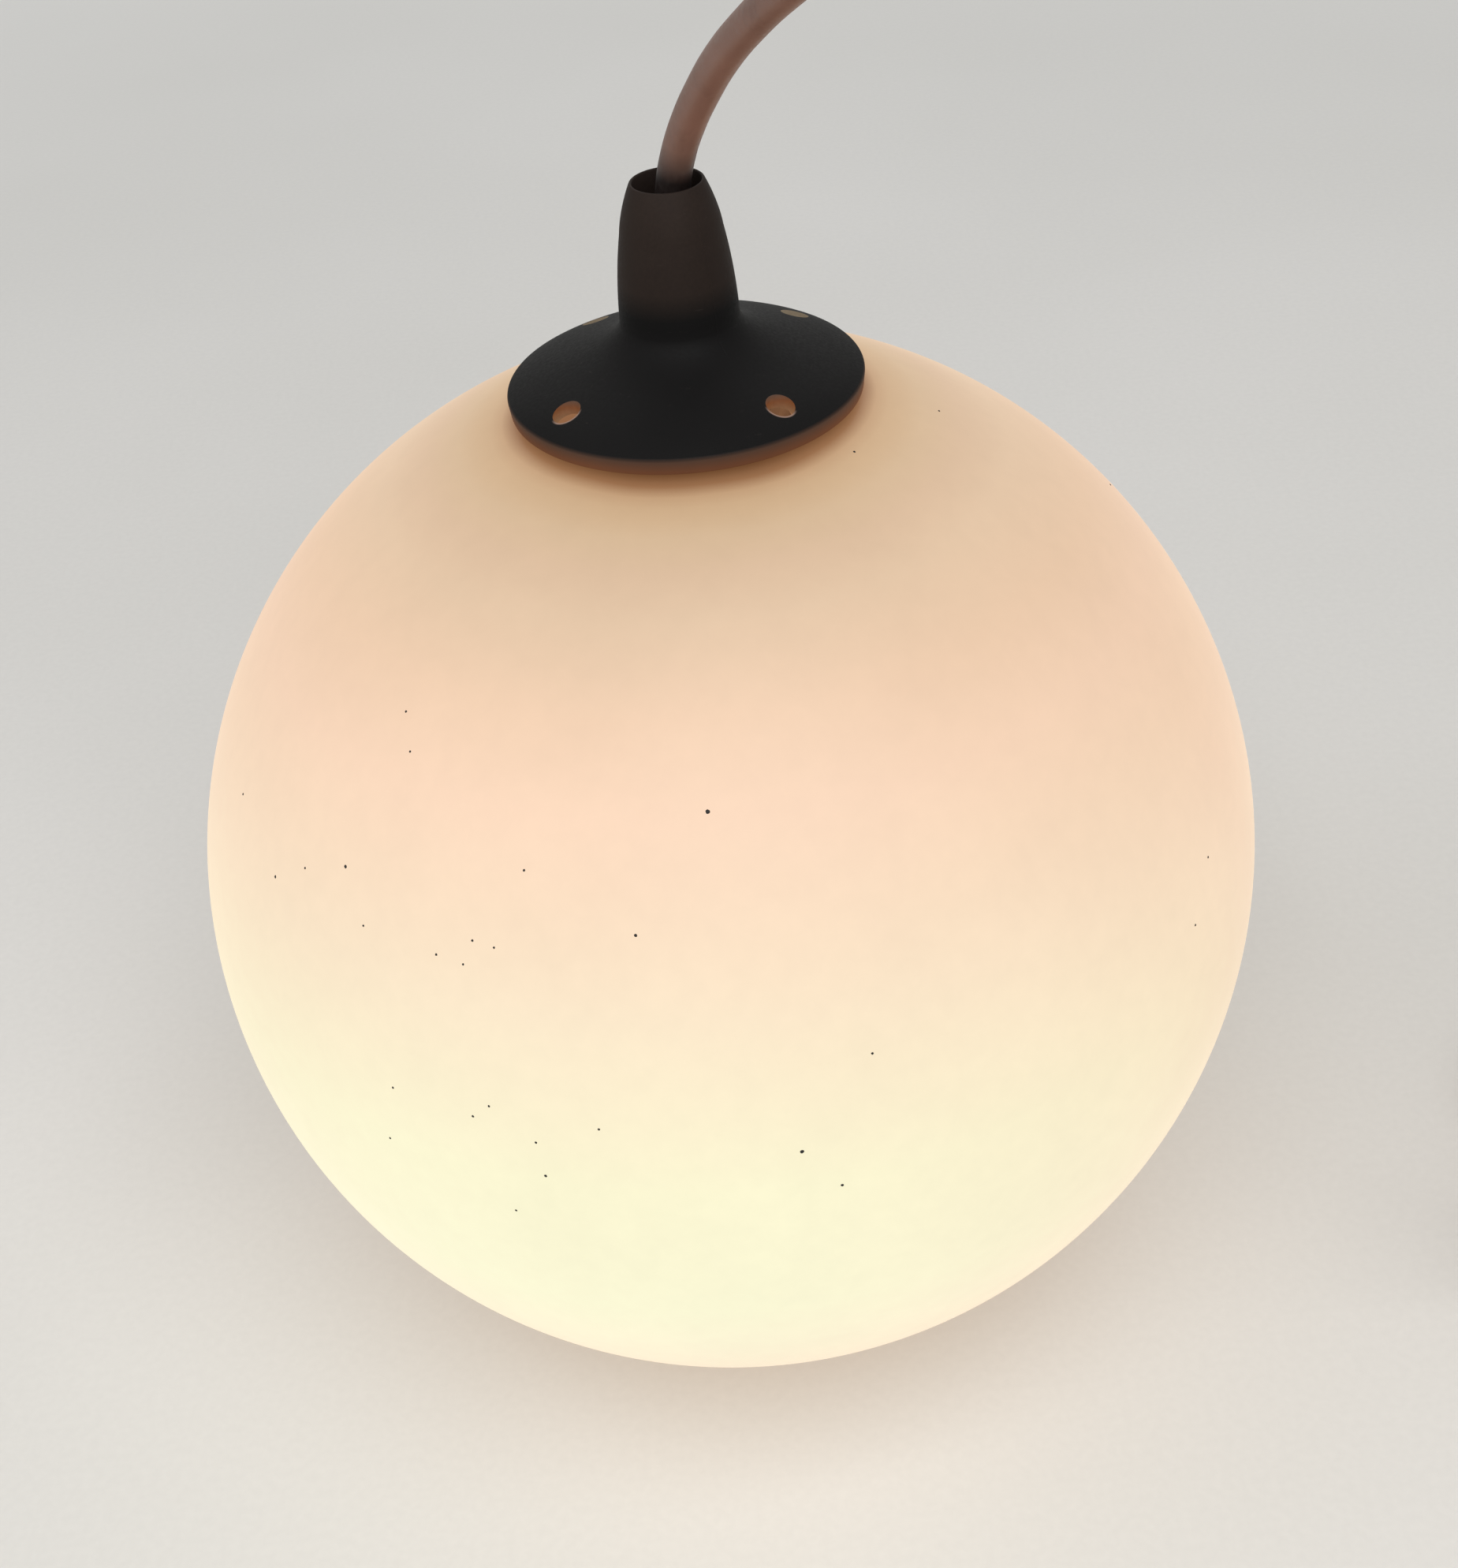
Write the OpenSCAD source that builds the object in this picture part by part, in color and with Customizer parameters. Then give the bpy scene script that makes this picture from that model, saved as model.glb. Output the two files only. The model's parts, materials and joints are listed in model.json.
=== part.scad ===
// Opal glass ball pendant light with a vented cap, spring claws and a screw bulb.
// Millimetres, +Z up along the lamp's axis, origin where the cord leaves the top of the cap's neck.

/* [Globe] */
// Outside diameter of the opal glass ball
globe_d = 200; // [180:5:260]
// Thickness of the blown glass
globe_wall = 2.5; // [2:0.5:3.5]
// Diameter of the mouth at the top of the ball
mouth_d = 54; // [52:1:55]

/* [Cap] */
// Outside diameter of the cap's flange
flange_d = 61.2; // [60:0.2:68]
// Height of the flange's upright edge
flange_h = 3.1; // [2.6:0.1:4]
// Wall of the moulded cap
cap_wall = 2.2; // [1.8:0.1:2.4]
// Height of the cap from the flange's lower edge to the cord opening
cap_h = 37.6; // [36:0.2:44]
// Rise of the domed crown above the flange's edge, before the neck's flare
crown_rise = 4.2; // [3.4:0.1:5]
// Diameter of the neck above its flare
neck_base_d = 20.3; // [19.6:0.1:22]
// Diameter of the neck at its shoulder, below the rounded top
neck_top_d = 17.2; // [16.4:0.1:19]
// Diameter of the opening that the cord leaves through
cord_hole_d = 11.4; // [10.4:0.2:12]
// Diameter of a vent hole
vent_d = 4.8; // [4:0.1:6]
// Pitch circle of the vent holes
vent_pitch_d = 50; // [48:0.5:51]
// Number of vent holes
vent_count = 4; // [3:1:6]
// Direction of the first vent hole
vent_turn = 36.6; // [0:0.2:90]

/* [Seal] */
// Gap between the flange's lower edge and the glass
rim_gap = 1.7; // [1.4:0.1:2.5]
// Radial width of the sealing ring inside the flange's edge
seal_w = 1.5; // [1.3:0.1:2]

/* [Claws] */
// Thickness of the sheet steel plate that carries the claws
plate_t = 1.2; // [1:0.1:1.6]
// Distance of the claw hinge pins from the lamp's axis
claw_hinge_r = 22; // [21.6:0.1:22.6]
// Drop of the claw hinge pins below the plate
claw_hinge_drop = 3.6; // [3.2:0.1:4.2]
// Width of a claw
claw_w = 7.2; // [6.4:0.2:8]
// Thickness of a claw's strip
claw_t = 1; // [0.8:0.1:1.2]
// Diameter of a claw's hinge pin
claw_pin_d = 1.8; // [1.6:0.1:2]
// Diameter of the soft sleeve on a claw's tip
sleeve_d = 3.8; // [3.4:0.1:4.2]
// Distance of a claw's tip from the lamp's axis
claw_tip_r = 39.2; // [37:0.2:41]
// Diameter of the spring wire
spring_wire_d = 0.6; // [0.5:0.1:0.7]
// Direction of the first claw
claw_turn = 21.6; // [0:0.2:120]
// Diameter of the plate screws
plate_screw_d = 2.9; // [2.5:0.1:3]

/* [Lampholder] */
// Outside diameter of the lampholder
holder_d = 38; // [37:0.5:39]
// Wall of the lampholder's moulded covers
holder_wall = 1.8; // [1.4:0.1:2]
// Height of the lampholder's dome
dome_h = 18; // [17:0.5:20]
// Outside diameter of the threaded tube that joins cap and lampholder
nipple_d = 10; // [9.6:0.2:10.4]
// Length of the threaded tube
nipple_l = 16; // [15:0.5:18]
// Size of the hexagon nut across its flats
nut_af = 14; // [13:0.5:15]
// Outside diameter of the cord grip
grip_d = 12.6; // [12.2:0.1:12.8]

/* [Bulb] */
// Diameter of the bulb's ball
bulb_d = 45; // [40:1:48]
// Length of the bulb from its contact to the end of the glass
bulb_l = 76; // [72:1:84]
// Wall of the bulb's glass
bulb_wall = 0.8; // [0.6:0.1:1]
// Outside diameter of the bulb's screw thread
thread_d = 26.4; // [26:0.1:26.6]
// Depth of the rounded thread
thread_depth = 1.2; // [1:0.1:1.3]
// Pitch of the thread
thread_pitch = 3.629; // [3.4:0.001:3.8]

/* [Cord] */
// Diameter of the round cord
cord_d = 5.8; // [5.4:0.1:6]
// Radius of the put away coil at the middle of its outer turn
coil_r = 36; // [34:0.5:40]
// Gap between neighbouring turns of the coil
coil_gap = 0.8; // [0.6:0.1:1.2]
// Thickness of the strap that ties the coil
tie_t = 0.6; // [0.5:0.1:0.8]

/* [Ceiling cup] */
// Diameter of the cup's rim
cup_d = 76; // [70:1:90]
// Height of the cup to the foot of its nozzle
cup_h = 26; // [25:0.5:28]
// Height of the cup's nozzle
nozzle_h = 8; // [7:0.5:8.5]
// Wall of the cup
cup_wall = 2; // [1.6:0.1:2.4]

/* [Hidden] */

// Clearances
fit = 0.3;
seat = 0.2;
slip = 0.1;
run = 0.05;
eps = 0.01;
round_fn = 96;
small_fn = 32;

// Colours of the finished lamp
opal = [1, 0.88, 0.76];
charcoal = [0.16, 0.14, 0.13];
steel = [0.72, 0.72, 0.7];
brass = [0.8, 0.65, 0.3];
bakelite = [0.12, 0.1, 0.09];
cord_tan = [0.72, 0.52, 0.44];
cup_cream = [0.86, 0.8, 0.7];

// Levels, from the cord opening down
flange_r = flange_d / 2;
flange_z = -cap_h;
mouth_r = mouth_d / 2;
globe_r = globe_d / 2;
globe_in_r = globe_r - globe_wall;
rim_in_r = flange_r - cap_wall;
seal_out_r = rim_in_r - fit;
seal_in_r = seal_out_r - seal_w;
seal_seat_h = 1.8;
globe_z = flange_z - rim_gap - sqrt(globe_r * globe_r - flange_r * flange_r);
floor_z = globe_z - globe_r;
plate_rise = 1.9;
plate_top_z = flange_z + flange_h + plate_rise - cap_wall;
plate_z = plate_top_z - plate_t;
washer_t = 0.8;
washer_z = plate_top_z + seat;
nut_t = 3;
nut_z = washer_z + washer_t + seat;
grip_z = nut_z + nut_t + fit;
grip_l = 15.5;
grip_overlap = 3.7;
nipple_r = nipple_d / 2;
cord_r = cord_d / 2;
cord_way_r = cord_r + fit;
nipple_top_z = grip_z + grip_overlap;
nipple_z = nipple_top_z - nipple_l;

// The cap's outline, up from the flange's lower edge, as radius and height
flare_h = 6.6;
shoulder_drop = 8.4;
neck_foot_z = flange_h + crown_rise + flare_h;
neck_r = neck_base_d / 2;
shoulder_r = neck_top_d / 2;
shoulder_z = cap_h - shoulder_drop;
cord_hole_r = cord_hole_d / 2;
edge_round = 0.5;
lip_w = 0.55;
function bezier(a, b, c, d, n) =
    [for (i = [0 : n]) let (t = i / n, u = 1 - t)
        u * u * u * a + 3 * u * u * t * b + 3 * u * t * t * c + t * t * t * d];
crown_line = bezier([flange_r - edge_round, flange_h], [flange_r * 0.76, flange_h + crown_rise],
    [neck_r + 1, flange_h + crown_rise + 1.4], [neck_r, neck_foot_z], 16);
neck_line = bezier([neck_r, neck_foot_z], [neck_r - 0.2, neck_foot_z + 7.5],
    [shoulder_r + 0.55, shoulder_z - 3], [shoulder_r, shoulder_z], 8);
top_line = bezier([shoulder_r, shoulder_z], [shoulder_r - 0.3, shoulder_z + 2.8],
    [cord_hole_r + 1.5, cap_h - 2.4], [cord_hole_r + lip_w, cap_h - 0.3], 8);
function tail(list) = [for (i = [1 : len(list) - 1]) list[i]];
function turned(list) = [for (i = [len(list) - 1 : -1 : 0]) list[i]];
cap_line = concat(crown_line, tail(neck_line), tail(top_line));
function unit(v) = v / norm(v);
function along(list, i) = unit(list[min(i + 1, len(list) - 1)] - list[max(i - 1, 0)]);
// A line moved to its left by w, which is inwards for an outline that climbs on the right
function inset(list, w) =
    [for (i = [0 : len(list) - 1]) let (t = along(list, i)) list[i] + w * [-t[1], t[0]]];
ledge_r = seal_in_r - seat;
cap_inner_line = [for (p = inset(cap_line, cap_wall))
    if (p[1] < cap_h - 3.4 && p[0] > cord_hole_r && p[0] < ledge_r - 0.2) p];

// Claw stations, in a claw's own plane: distance from the axis and height
hinge_z = plate_z - claw_hinge_drop;
tip_reach = globe_in_r - sleeve_d / 2 - fit;
tip_z = globe_z + sqrt(tip_reach * tip_reach - claw_tip_r * claw_tip_r);
elbow_out = 2.2;
elbow_drop = 3.4;
elbow_r = claw_hinge_r + elbow_out;
elbow_z = hinge_z - elbow_drop;
pin_r = claw_pin_d / 2;
barrel_wall = 1;
barrel_r = pin_r + barrel_wall;
barrel_l = claw_w / 2 - fit;
ear_t = 1;
ear_gap = claw_w / 2 + fit;
spring_bore_gap = 0.45;
spring_r = pin_r + spring_bore_gap + spring_wire_d / 2;
spring_turns = 2.5;
spring_gap = 0.5;
spring_pitch = spring_wire_d + spring_gap;
spring_side = fit + spring_wire_d / 2;
claw_count = 3;
claw_angles = [for (k = [0 : claw_count - 1]) claw_turn + 360 / claw_count * k];
boss_angles = [for (a = claw_angles) a + 180 / claw_count];
boss_pitch_r = 15;
boss_r = 2.7;
plate_screw_r = plate_screw_d / 2;
screw_head_r = plate_screw_r + 1.25;
screw_head_t = 1.5;
screw_grip_l = 2.7;
plate_screw_l = plate_t + screw_grip_l;

// Lampholder levels
holder_r = holder_d / 2;
holder_in_r = holder_r - holder_wall;
dome_top_z = plate_z - fit;
dome_z = dome_top_z - dome_h;
dome_boss_w = 3;
dome_boss_r = nipple_r + dome_boss_w;
spigot_h = 4;
spigot_t = 1.6;
spigot_out_r = holder_in_r - seat;
spigot_in_r = spigot_out_r - spigot_t;
insert_top_z = dome_z - spigot_h - fit;
insert_h = 9;
insert_z = insert_top_z - insert_h;
insert_r = holder_in_r - 2 * seat;
ring_h = 3;
thread_r = thread_d / 2;
thread_mid_r = thread_r - thread_depth / 2;
thread_gap = 0.45;
shell_t = 0.5;
shell_mid_r = thread_mid_r + thread_gap;
shell_top_z = insert_z - ring_h - seat;
shell_l = 19.6;
skirt_lip_h = 1.2;
skirt_z = shell_top_z - shell_l - skirt_lip_h;
skirt_top_z = dome_z - fit;
mouth_gap = 1.5;
skirt_lip_r = thread_r + mouth_gap;
contact_t = 0.4;
contact_lift = 0.6;
contact_z = insert_z - contact_t - contact_lift;
contact_l = 22;
contact_w = 5;
terminal_r = 10;
terminal_hole_r = 2;
terminal_lift = 4.5;
side_terminal_z = insert_z + terminal_lift;

// Bulb levels
pip_top_z = contact_z - seat;
pip_r = 2.4;
pip_h = 1.1;
insulator_z = pip_top_z - pip_h;
insulator_h = 2.6;
insulator_r = 9;
base_top_z = insulator_z - insulator_h;
base_l = 19;
base_z = base_top_z - base_l;
base_wall = 0.5;
collar_h = 1.6;
bulb_r = bulb_d / 2;
bulb_end_z = pip_top_z - bulb_l;
bulb_centre_z = bulb_end_z + bulb_r;
base_root_r = thread_mid_r - thread_depth / 2;
cement_gap = 0.4;
bulb_neck_r = base_root_r - base_wall - cement_gap;
bulb_neck_in_base = 2.6;
bulb_neck_z = base_z + bulb_neck_in_base;
stem_r = 4;
filament_lift = 4;
filament_z = bulb_centre_z + filament_lift;
filament_half = 8;
stem_foot_z = filament_z + 12;
lead_r = 0.3;

// Thread grid
thread_sides = 24;
thread_steps = 6;

// Turns of the put away coil
coil_turns = 2.5;
coil_rings = 24;
coil_sides = 6;
coil_step = cord_d + coil_gap;
coil_foot_x = 162;
coil_x = coil_foot_x + coil_r;
coil_y = -10;
coil_z = floor_z + cord_r + tie_t + fit;
function climb(t) = t <= 0 ? 0 : t >= 1 ? 1 : t * t * (3 - 2 * t);
function coil_reach(turn) = coil_r - coil_step * (coil_turns / 2 - abs(turn - coil_turns / 2));
function coil_point(turn) =
    let (a = 180 - 360 * turn, r = coil_reach(turn))
        [coil_x + r * cos(a), coil_y + r * sin(a),
            coil_z + coil_step * climb((turn - coil_turns / 2 + 0.25) / 0.5)];
coil_start = coil_point(0) - [0, cord_d, 0];
coil_end = coil_point(coil_turns) - [0, cord_d, 0];
coil_path = concat([coil_start],
    [for (i = [0 : coil_rings * coil_turns]) coil_point(i / coil_rings)], [coil_end]);

// The cord's way out of the neck, over in an arch and down to the surface, chosen by hand
cord_arch = [
    [0, 0, -13.5], [0, 0, -11.5], [0.3, 0.3, -7], [1, 0, -1], [2.4, -1.8, 5], [4.3, -5.5, 11],
    [6.8, -11, 17.5], [10, -19, 25], [14, -28.5, 32.5], [19, -40, 40.5], [26, -53, 49], [36, -65, 56.5],
    [49, -75, 61.5], [64, -81, 63], [79, -82, 60], [93, -81, 52.5], [105, -79, 41], [112.5, -76.5, 27],
    [116.5, -74.5, 12]];
cord_drop = [
    [119.5, -72.5, -4], [122, -71, -20], [124, -69.5, -36], [125.5, -68, -52], [127, -66.5, -68],
    [128.5, -65, -84], [130, -63.5, -100], [131.5, -62, -116], [133, -60.5, -132], [134.5, -59, -148],
    [136.5, -57, -164], [139.2, -56.2, -175.1], [143, -55.6, -185.9], [147.1, -54.4, -196.5],
    [151.4, -51.9, -206.8], [155.5, -47.4, -216.4], [159.1, -40.1, -224.4], [161.3, -30.1, -229.3]];
// Level of the surface that the drop was drawn for
drawn_floor_z = -234.5;
// Straight run before the coil, so that the two ends meet squarely
straight_run = [0, 3, 0];
cord_route = concat(cord_arch,
    [for (p = cord_drop) [p[0], p[1], p[2] * floor_z / drawn_floor_z]],
    [coil_start - straight_run, coil_start]);

// The cord's way from the coil's end over to the ceiling cup, as steps from the coil's end
riser = [
    [0, 0, 0], [0, -3, 0], [-0.3, -12.5, 1.4], [-1, -21.3, 5.4], [-2, -28.7, 11.7], [-2.9, -34.1, 19.7],
    [-3.5, -37.3, 28.8], [-4.3, -40.9, 37.8], [-5.7, -46.6, 45.5], [-7.8, -54.1, 51.3],
    [-10.6, -62.7, 54.9], [-14, -71.7, 56], [-17.8, -80.5, 54.4], [-21.6, -88.4, 50.2],
    [-24.9, -94.7, 43.6], [-27.2, -98.8, 35.1], [-28, -100.2, 25.6], [-28, -100.2, 15.8],
    [-28, -100.2, 6.1]];
cup_route = [for (p = riser) coil_end + p];
cord_far_end = cup_route[len(cup_route) - 1];
cup_x = cord_far_end[0];
cup_y = cord_far_end[1];

// The claw springs' coils, around the hinge pins from top to bottom
spring_rings = 8;
spring_path = [for (i = [0 : spring_rings * spring_turns]) let (turn = i / spring_rings, a = 360 * turn + 90)
    [spring_r * cos(a), spring_side + spring_pitch * turn, spring_r * sin(a)]];

// Least gap of a wound tube to itself, between points more than apart rings from each other
function least_gap(path, apart, d) =
    min([for (i = [0 : len(path) - 1 - apart])
        for (j = [i + apart : len(path) - 1]) norm(path[i] - path[j])]) - d;
echo(coil_gap_to_itself = least_gap(coil_path, coil_rings / 2, cord_d));
echo(spring_gap_to_itself = least_gap(spring_path, spring_rings / 2, spring_wire_d));

// A frame that turns as little as it can along a path
function any_side(t) = unit(cross(t, abs(t[2]) < 0.9 ? [0, 0, 1] : [1, 0, 0]));
function side_frames(path) =
    [for (i = 0, s = any_side(along(path, 0)); i < len(path);
        i = i + 1, s = i < len(path) ? unit(s - (s * along(path, i)) * along(path, i)) : s) s];

// One closed tube along a path, with n sides
module tube(path, r, n) {
    sides = side_frames(path);
    last = len(path) - 1;
    points = [for (i = [0 : last]) let (t = along(path, i), u = sides[i], v = cross(t, u))
        for (k = [0 : n - 1]) path[i] + r * (cos(360 * k / n) * u + sin(360 * k / n) * v)];
    walls = [for (i = [0 : last - 1]) for (k = [0 : n - 1]) let (a = i * n + k, b = i * n + (k + 1) % n)
        each [[a, b + n, b], [a, a + n, b + n]]];
    ends = concat([for (k = [1 : n - 2]) [0, k, k + 1]],
        [for (k = [1 : n - 2]) [last * n, last * n + k + 1, last * n + k]]);
    polyhedron(points, concat(walls, ends));
}

// A tube wall with a rounded screw thread: ridges follow a right-handed helix
module threaded_wall(mid_r, depth, inner_r, z, l, threaded_inside) {
    n = thread_sides;
    steps = ceil(l / thread_pitch * thread_steps);
    function ridge(zz, a) = depth / 2 * cos(360 * zz / thread_pitch - a);
    function ring(i, r, follow) = let (zz = z + l * i / steps)
        [for (k = [0 : n - 1]) let (a = 360 * k / n, q = r + (follow ? ridge(zz - shell_top_z, a) : 0))
            [q * cos(a), q * sin(a), zz]];
    outer = [for (i = [0 : steps]) each ring(i, mid_r, true)];
    inner = threaded_inside ? [for (i = [0 : steps]) each ring(i, inner_r, true)]
        : [for (i = [0, steps]) each ring(i, inner_r, false)];
    inner_steps = threaded_inside ? steps : 1;
    base = (steps + 1) * n;
    walls = [for (i = [0 : steps - 1]) for (k = [0 : n - 1]) let (a = i * n + k, b = i * n + (k + 1) % n)
        each [[a, b + n, b], [a, a + n, b + n]]];
    inside = [for (i = [0 : inner_steps - 1]) for (k = [0 : n - 1])
        let (a = base + i * n + k, b = base + i * n + (k + 1) % n)
            each [[a, b, b + n], [a, b + n, a + n]]];
    low = [for (k = [0 : n - 1]) let (k2 = (k + 1) % n) each [[k, k2, base + k2], [k, base + k2, base + k]]];
    o = steps * n;
    p = base + inner_steps * n;
    high = [for (k = [0 : n - 1]) let (k2 = (k + 1) % n)
        each [[o + k, p + k2, o + k2], [o + k, p + k, p + k2]]];
    polyhedron(concat(outer, inner), concat(walls, inside, low, high));
}

// Children placed in a claw's own plane, where +X points away from the axis
module at_claw(a) {
    rotate(a)
        children();
}

// Children drawn flat as distance and height, and given a width across the claw
module across(w, start) {
    translate([0, start + w, 0])
        rotate([90, 0, 0])
            linear_extrude(w)
                children();
}

module globe() {
    color(opal)
        translate([0, 0, globe_z])
            difference() {
                sphere(r = globe_r, $fn = round_fn);
                sphere(r = globe_in_r, $fn = round_fn);
                cylinder(h = globe_r + 1, r = mouth_r, $fn = round_fn);
            }
}

module seal_ring() {
    n = 6;
    top_z = flange_z + seal_seat_h - seat;
    function glass_z(r) = globe_z + sqrt(globe_r * globe_r - r * r) + seat;
    under = [for (i = [0 : n]) let (r = seal_in_r + seal_w * i / n) [r, glass_z(max(r, mouth_r))]];
    color([0.35, 0.24, 0.16])
        rotate_extrude($fn = round_fn)
            polygon(concat(under, [[seal_out_r, top_z], [seal_in_r, top_z]]));
}

module cap_shell() {
    edge = [[flange_r - 0.3, 0], [flange_r, flange_h - edge_round],
        [flange_r - edge_round * 0.3, flange_h - edge_round * 0.3]];
    lip = [[cord_hole_r + lip_w * 0.4, cap_h], [cord_hole_r, cap_h - 0.3], [cord_hole_r, cap_h - 3]];
    inner = turned(cap_inner_line);
    ledge = [[ledge_r, cap_inner_line[0][1] - 0.1], [ledge_r, seal_seat_h], [rim_in_r, seal_seat_h]];
    rim = [[rim_in_r, 0]];
    translate([0, 0, flange_z])
        rotate_extrude($fn = round_fn)
            polygon(concat(edge, cap_line, lip, inner, ledge, rim));
}

module cap() {
    boss_sink = 0.2;
    pilot_cover = 1;
    boss_h = flange_h + crown_rise - boss_sink + flange_z - plate_top_z;
    color(charcoal)
        difference() {
            union() {
                cap_shell();
                for (a = boss_angles)
                    rotate(a)
                        translate([boss_pitch_r, 0, plate_top_z + seat])
                            cylinder(h = boss_h, r = boss_r, $fn = small_fn);
            }
            for (k = [0 : vent_count - 1])
                rotate(vent_turn + 360 / vent_count * k)
                    translate([vent_pitch_d / 2, 0, flange_z - 1])
                        cylinder(h = cap_h, r = vent_d / 2, $fn = small_fn);
            for (a = boss_angles)
                rotate(a)
                    translate([boss_pitch_r, 0, plate_top_z])
                        cylinder(h = boss_h - pilot_cover, r = plate_screw_r + run, $fn = small_fn);
        }
}

module claw_plate() {
    lug_w = 2 * (ear_gap + ear_t);
    ear_wall = 1.4;
    ear_r = pin_r + ear_wall;
    lug_r = claw_hinge_r + ear_r + 0.2;
    ear_neck_w = 2 * ear_r - 0.6;
    land_w = 0.6;
    color(steel)
        difference() {
            union() {
                translate([0, 0, plate_z])
                    linear_extrude(plate_t)
                        union() {
                            circle(r = boss_pitch_r + screw_head_r + land_w, $fn = round_fn);
                            for (a = claw_angles)
                                rotate(a)
                                    translate([2 * nipple_r, -lug_w / 2])
                                        square([lug_r - 2 * nipple_r, lug_w]);
                        }
                for (a = claw_angles)
                    at_claw(a)
                        for (s = [-1, 1])
                            translate([claw_hinge_r, s * (ear_gap + ear_t / 2), hinge_z]) {
                                rotate([90, 0, 0])
                                    cylinder(h = ear_t, r = ear_r, center = true, $fn = small_fn);
                                translate([-ear_neck_w / 2, -ear_t / 2, 0])
                                    cube([ear_neck_w, ear_t, plate_z - hinge_z + plate_t / 2]);
                            }
            }
            translate([0, 0, plate_z - 1])
                cylinder(h = plate_t + 2, r = nipple_r + slip, $fn = small_fn);
            for (a = boss_angles)
                rotate(a)
                    translate([boss_pitch_r, 0, plate_z - 1])
                        cylinder(h = plate_t + 2, r = plate_screw_r + slip, $fn = small_fn);
            for (a = claw_angles)
                at_claw(a)
                    translate([claw_hinge_r, 0, hinge_z])
                        rotate([90, 0, 0])
                            cylinder(h = lug_w + 2, r = pin_r + run, center = true, $fn = small_fn);
        }
}

module plate_screws() {
    slot_w = 0.7;
    color(steel)
        for (a = boss_angles)
            rotate(a)
                translate([boss_pitch_r, 0, plate_z - slip])
                    difference() {
                        union() {
                            cylinder(h = plate_screw_l, r = plate_screw_r, $fn = small_fn);
                            translate([0, 0, -screw_head_t])
                                cylinder(h = screw_head_t, r1 = screw_head_r * 0.8, r2 = screw_head_r,
                                    $fn = small_fn);
                        }
                        translate([-screw_head_r - 1, -slot_w / 2, -screw_head_t - eps])
                            cube([2 * screw_head_r + 2, slot_w, screw_head_t * 0.6]);
                    }
}

module nipple() {
    color(steel)
        translate([0, 0, nipple_z])
            difference() {
                cylinder(h = nipple_l, r = nipple_r, $fn = small_fn);
                translate([0, 0, -1])
                    cylinder(h = nipple_l + 2, r = cord_way_r, $fn = small_fn);
            }
}

module nipple_nut() {
    color(steel)
        translate([0, 0, nut_z])
            difference() {
                cylinder(h = nut_t, r = nut_af / sqrt(3), $fn = 6);
                translate([0, 0, -1])
                    cylinder(h = nut_t + 2, r = nipple_r + slip, $fn = small_fn);
            }
}

module lock_washer() {
    teeth = 12;
    tooth_gap = 0.8;
    tooth_l = 0.9;
    washer_r = nipple_r + 2.6;
    color(steel)
        translate([0, 0, washer_z])
            difference() {
                cylinder(h = washer_t, r = washer_r, $fn = small_fn);
                translate([0, 0, -1])
                    cylinder(h = washer_t + 2, r = nipple_r + slip, $fn = small_fn);
                for (k = [0 : teeth - 1])
                    rotate(360 / teeth * k)
                        translate([washer_r - tooth_l, -tooth_gap / 2, -1])
                            cube([2 * tooth_l, tooth_gap, washer_t + 2]);
            }
}

grip_screw_z = grip_z + grip_l * 0.62;
grip_screw_r = 1.9;
module cord_grip() {
    chamfer = 1;
    color([0.85, 0.84, 0.8])
        difference() {
            translate([0, 0, grip_z])
                union() {
                    cylinder(h = grip_l - chamfer, r = grip_d / 2, $fn = small_fn);
                    translate([0, 0, grip_l - chamfer])
                        cylinder(h = chamfer, r1 = grip_d / 2, r2 = grip_d / 2 - chamfer,
                            $fn = small_fn);
                }
            translate([0, 0, grip_z - 1])
                cylinder(h = grip_l + 2, r = cord_way_r, $fn = small_fn);
            translate([0, 0, grip_z - 1])
                cylinder(h = nipple_top_z - grip_z + 1 + seat, r = nipple_r + slip, $fn = small_fn);
            translate([0, 0, grip_screw_z])
                rotate([0, 90, 0])
                    cylinder(h = grip_d, r = grip_screw_r + slip, $fn = small_fn);
        }
}

module grip_screw() {
    start = cord_r + slip;
    reach = grip_d / 2 - slip - start;
    slot_w = 0.6;
    slot_h = 0.9;
    color(steel)
        translate([start, 0, grip_screw_z])
            rotate([0, 90, 0])
                difference() {
                    cylinder(h = reach, r = grip_screw_r, $fn = small_fn);
                    translate([-grip_screw_r - 1, -slot_w / 2, reach - slot_h])
                        cube([2 * grip_screw_r + 2, slot_w, slot_h + 1]);
                }
}

stripped_z = 3;
cord_end_z = nipple_z - stripped_z;
module cord_in_neck() {
    color(cord_tan)
        translate([0, 0, cord_end_z])
            cylinder(h = cord_route[0][2] - cord_end_z, r = cord_r, $fn = small_fn);
}

// One insulated core, from the cord's end to a terminal
module core_wire(side) {
    wire_r = 1;
    core_x = side * 1.4;
    knee = [side * 5, 0, cord_end_z - 4.8];
    foot = [side * terminal_r, 0, insert_top_z + 2.2];
    in_terminal = [0, 0, 3.6];
    tube([[core_x, 0, cord_end_z - fit], [core_x, 0, cord_end_z - 1.2], knee,
        [foot[0] - side * 0.6, 0, knee[2] - 4], foot, foot - in_terminal], wire_r, 8);
}

module brown_wire() {
    color([0.35, 0.2, 0.12])
        core_wire(-1);
}

module blue_wire() {
    color([0.2, 0.4, 0.7])
        core_wire(1);
}

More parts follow.
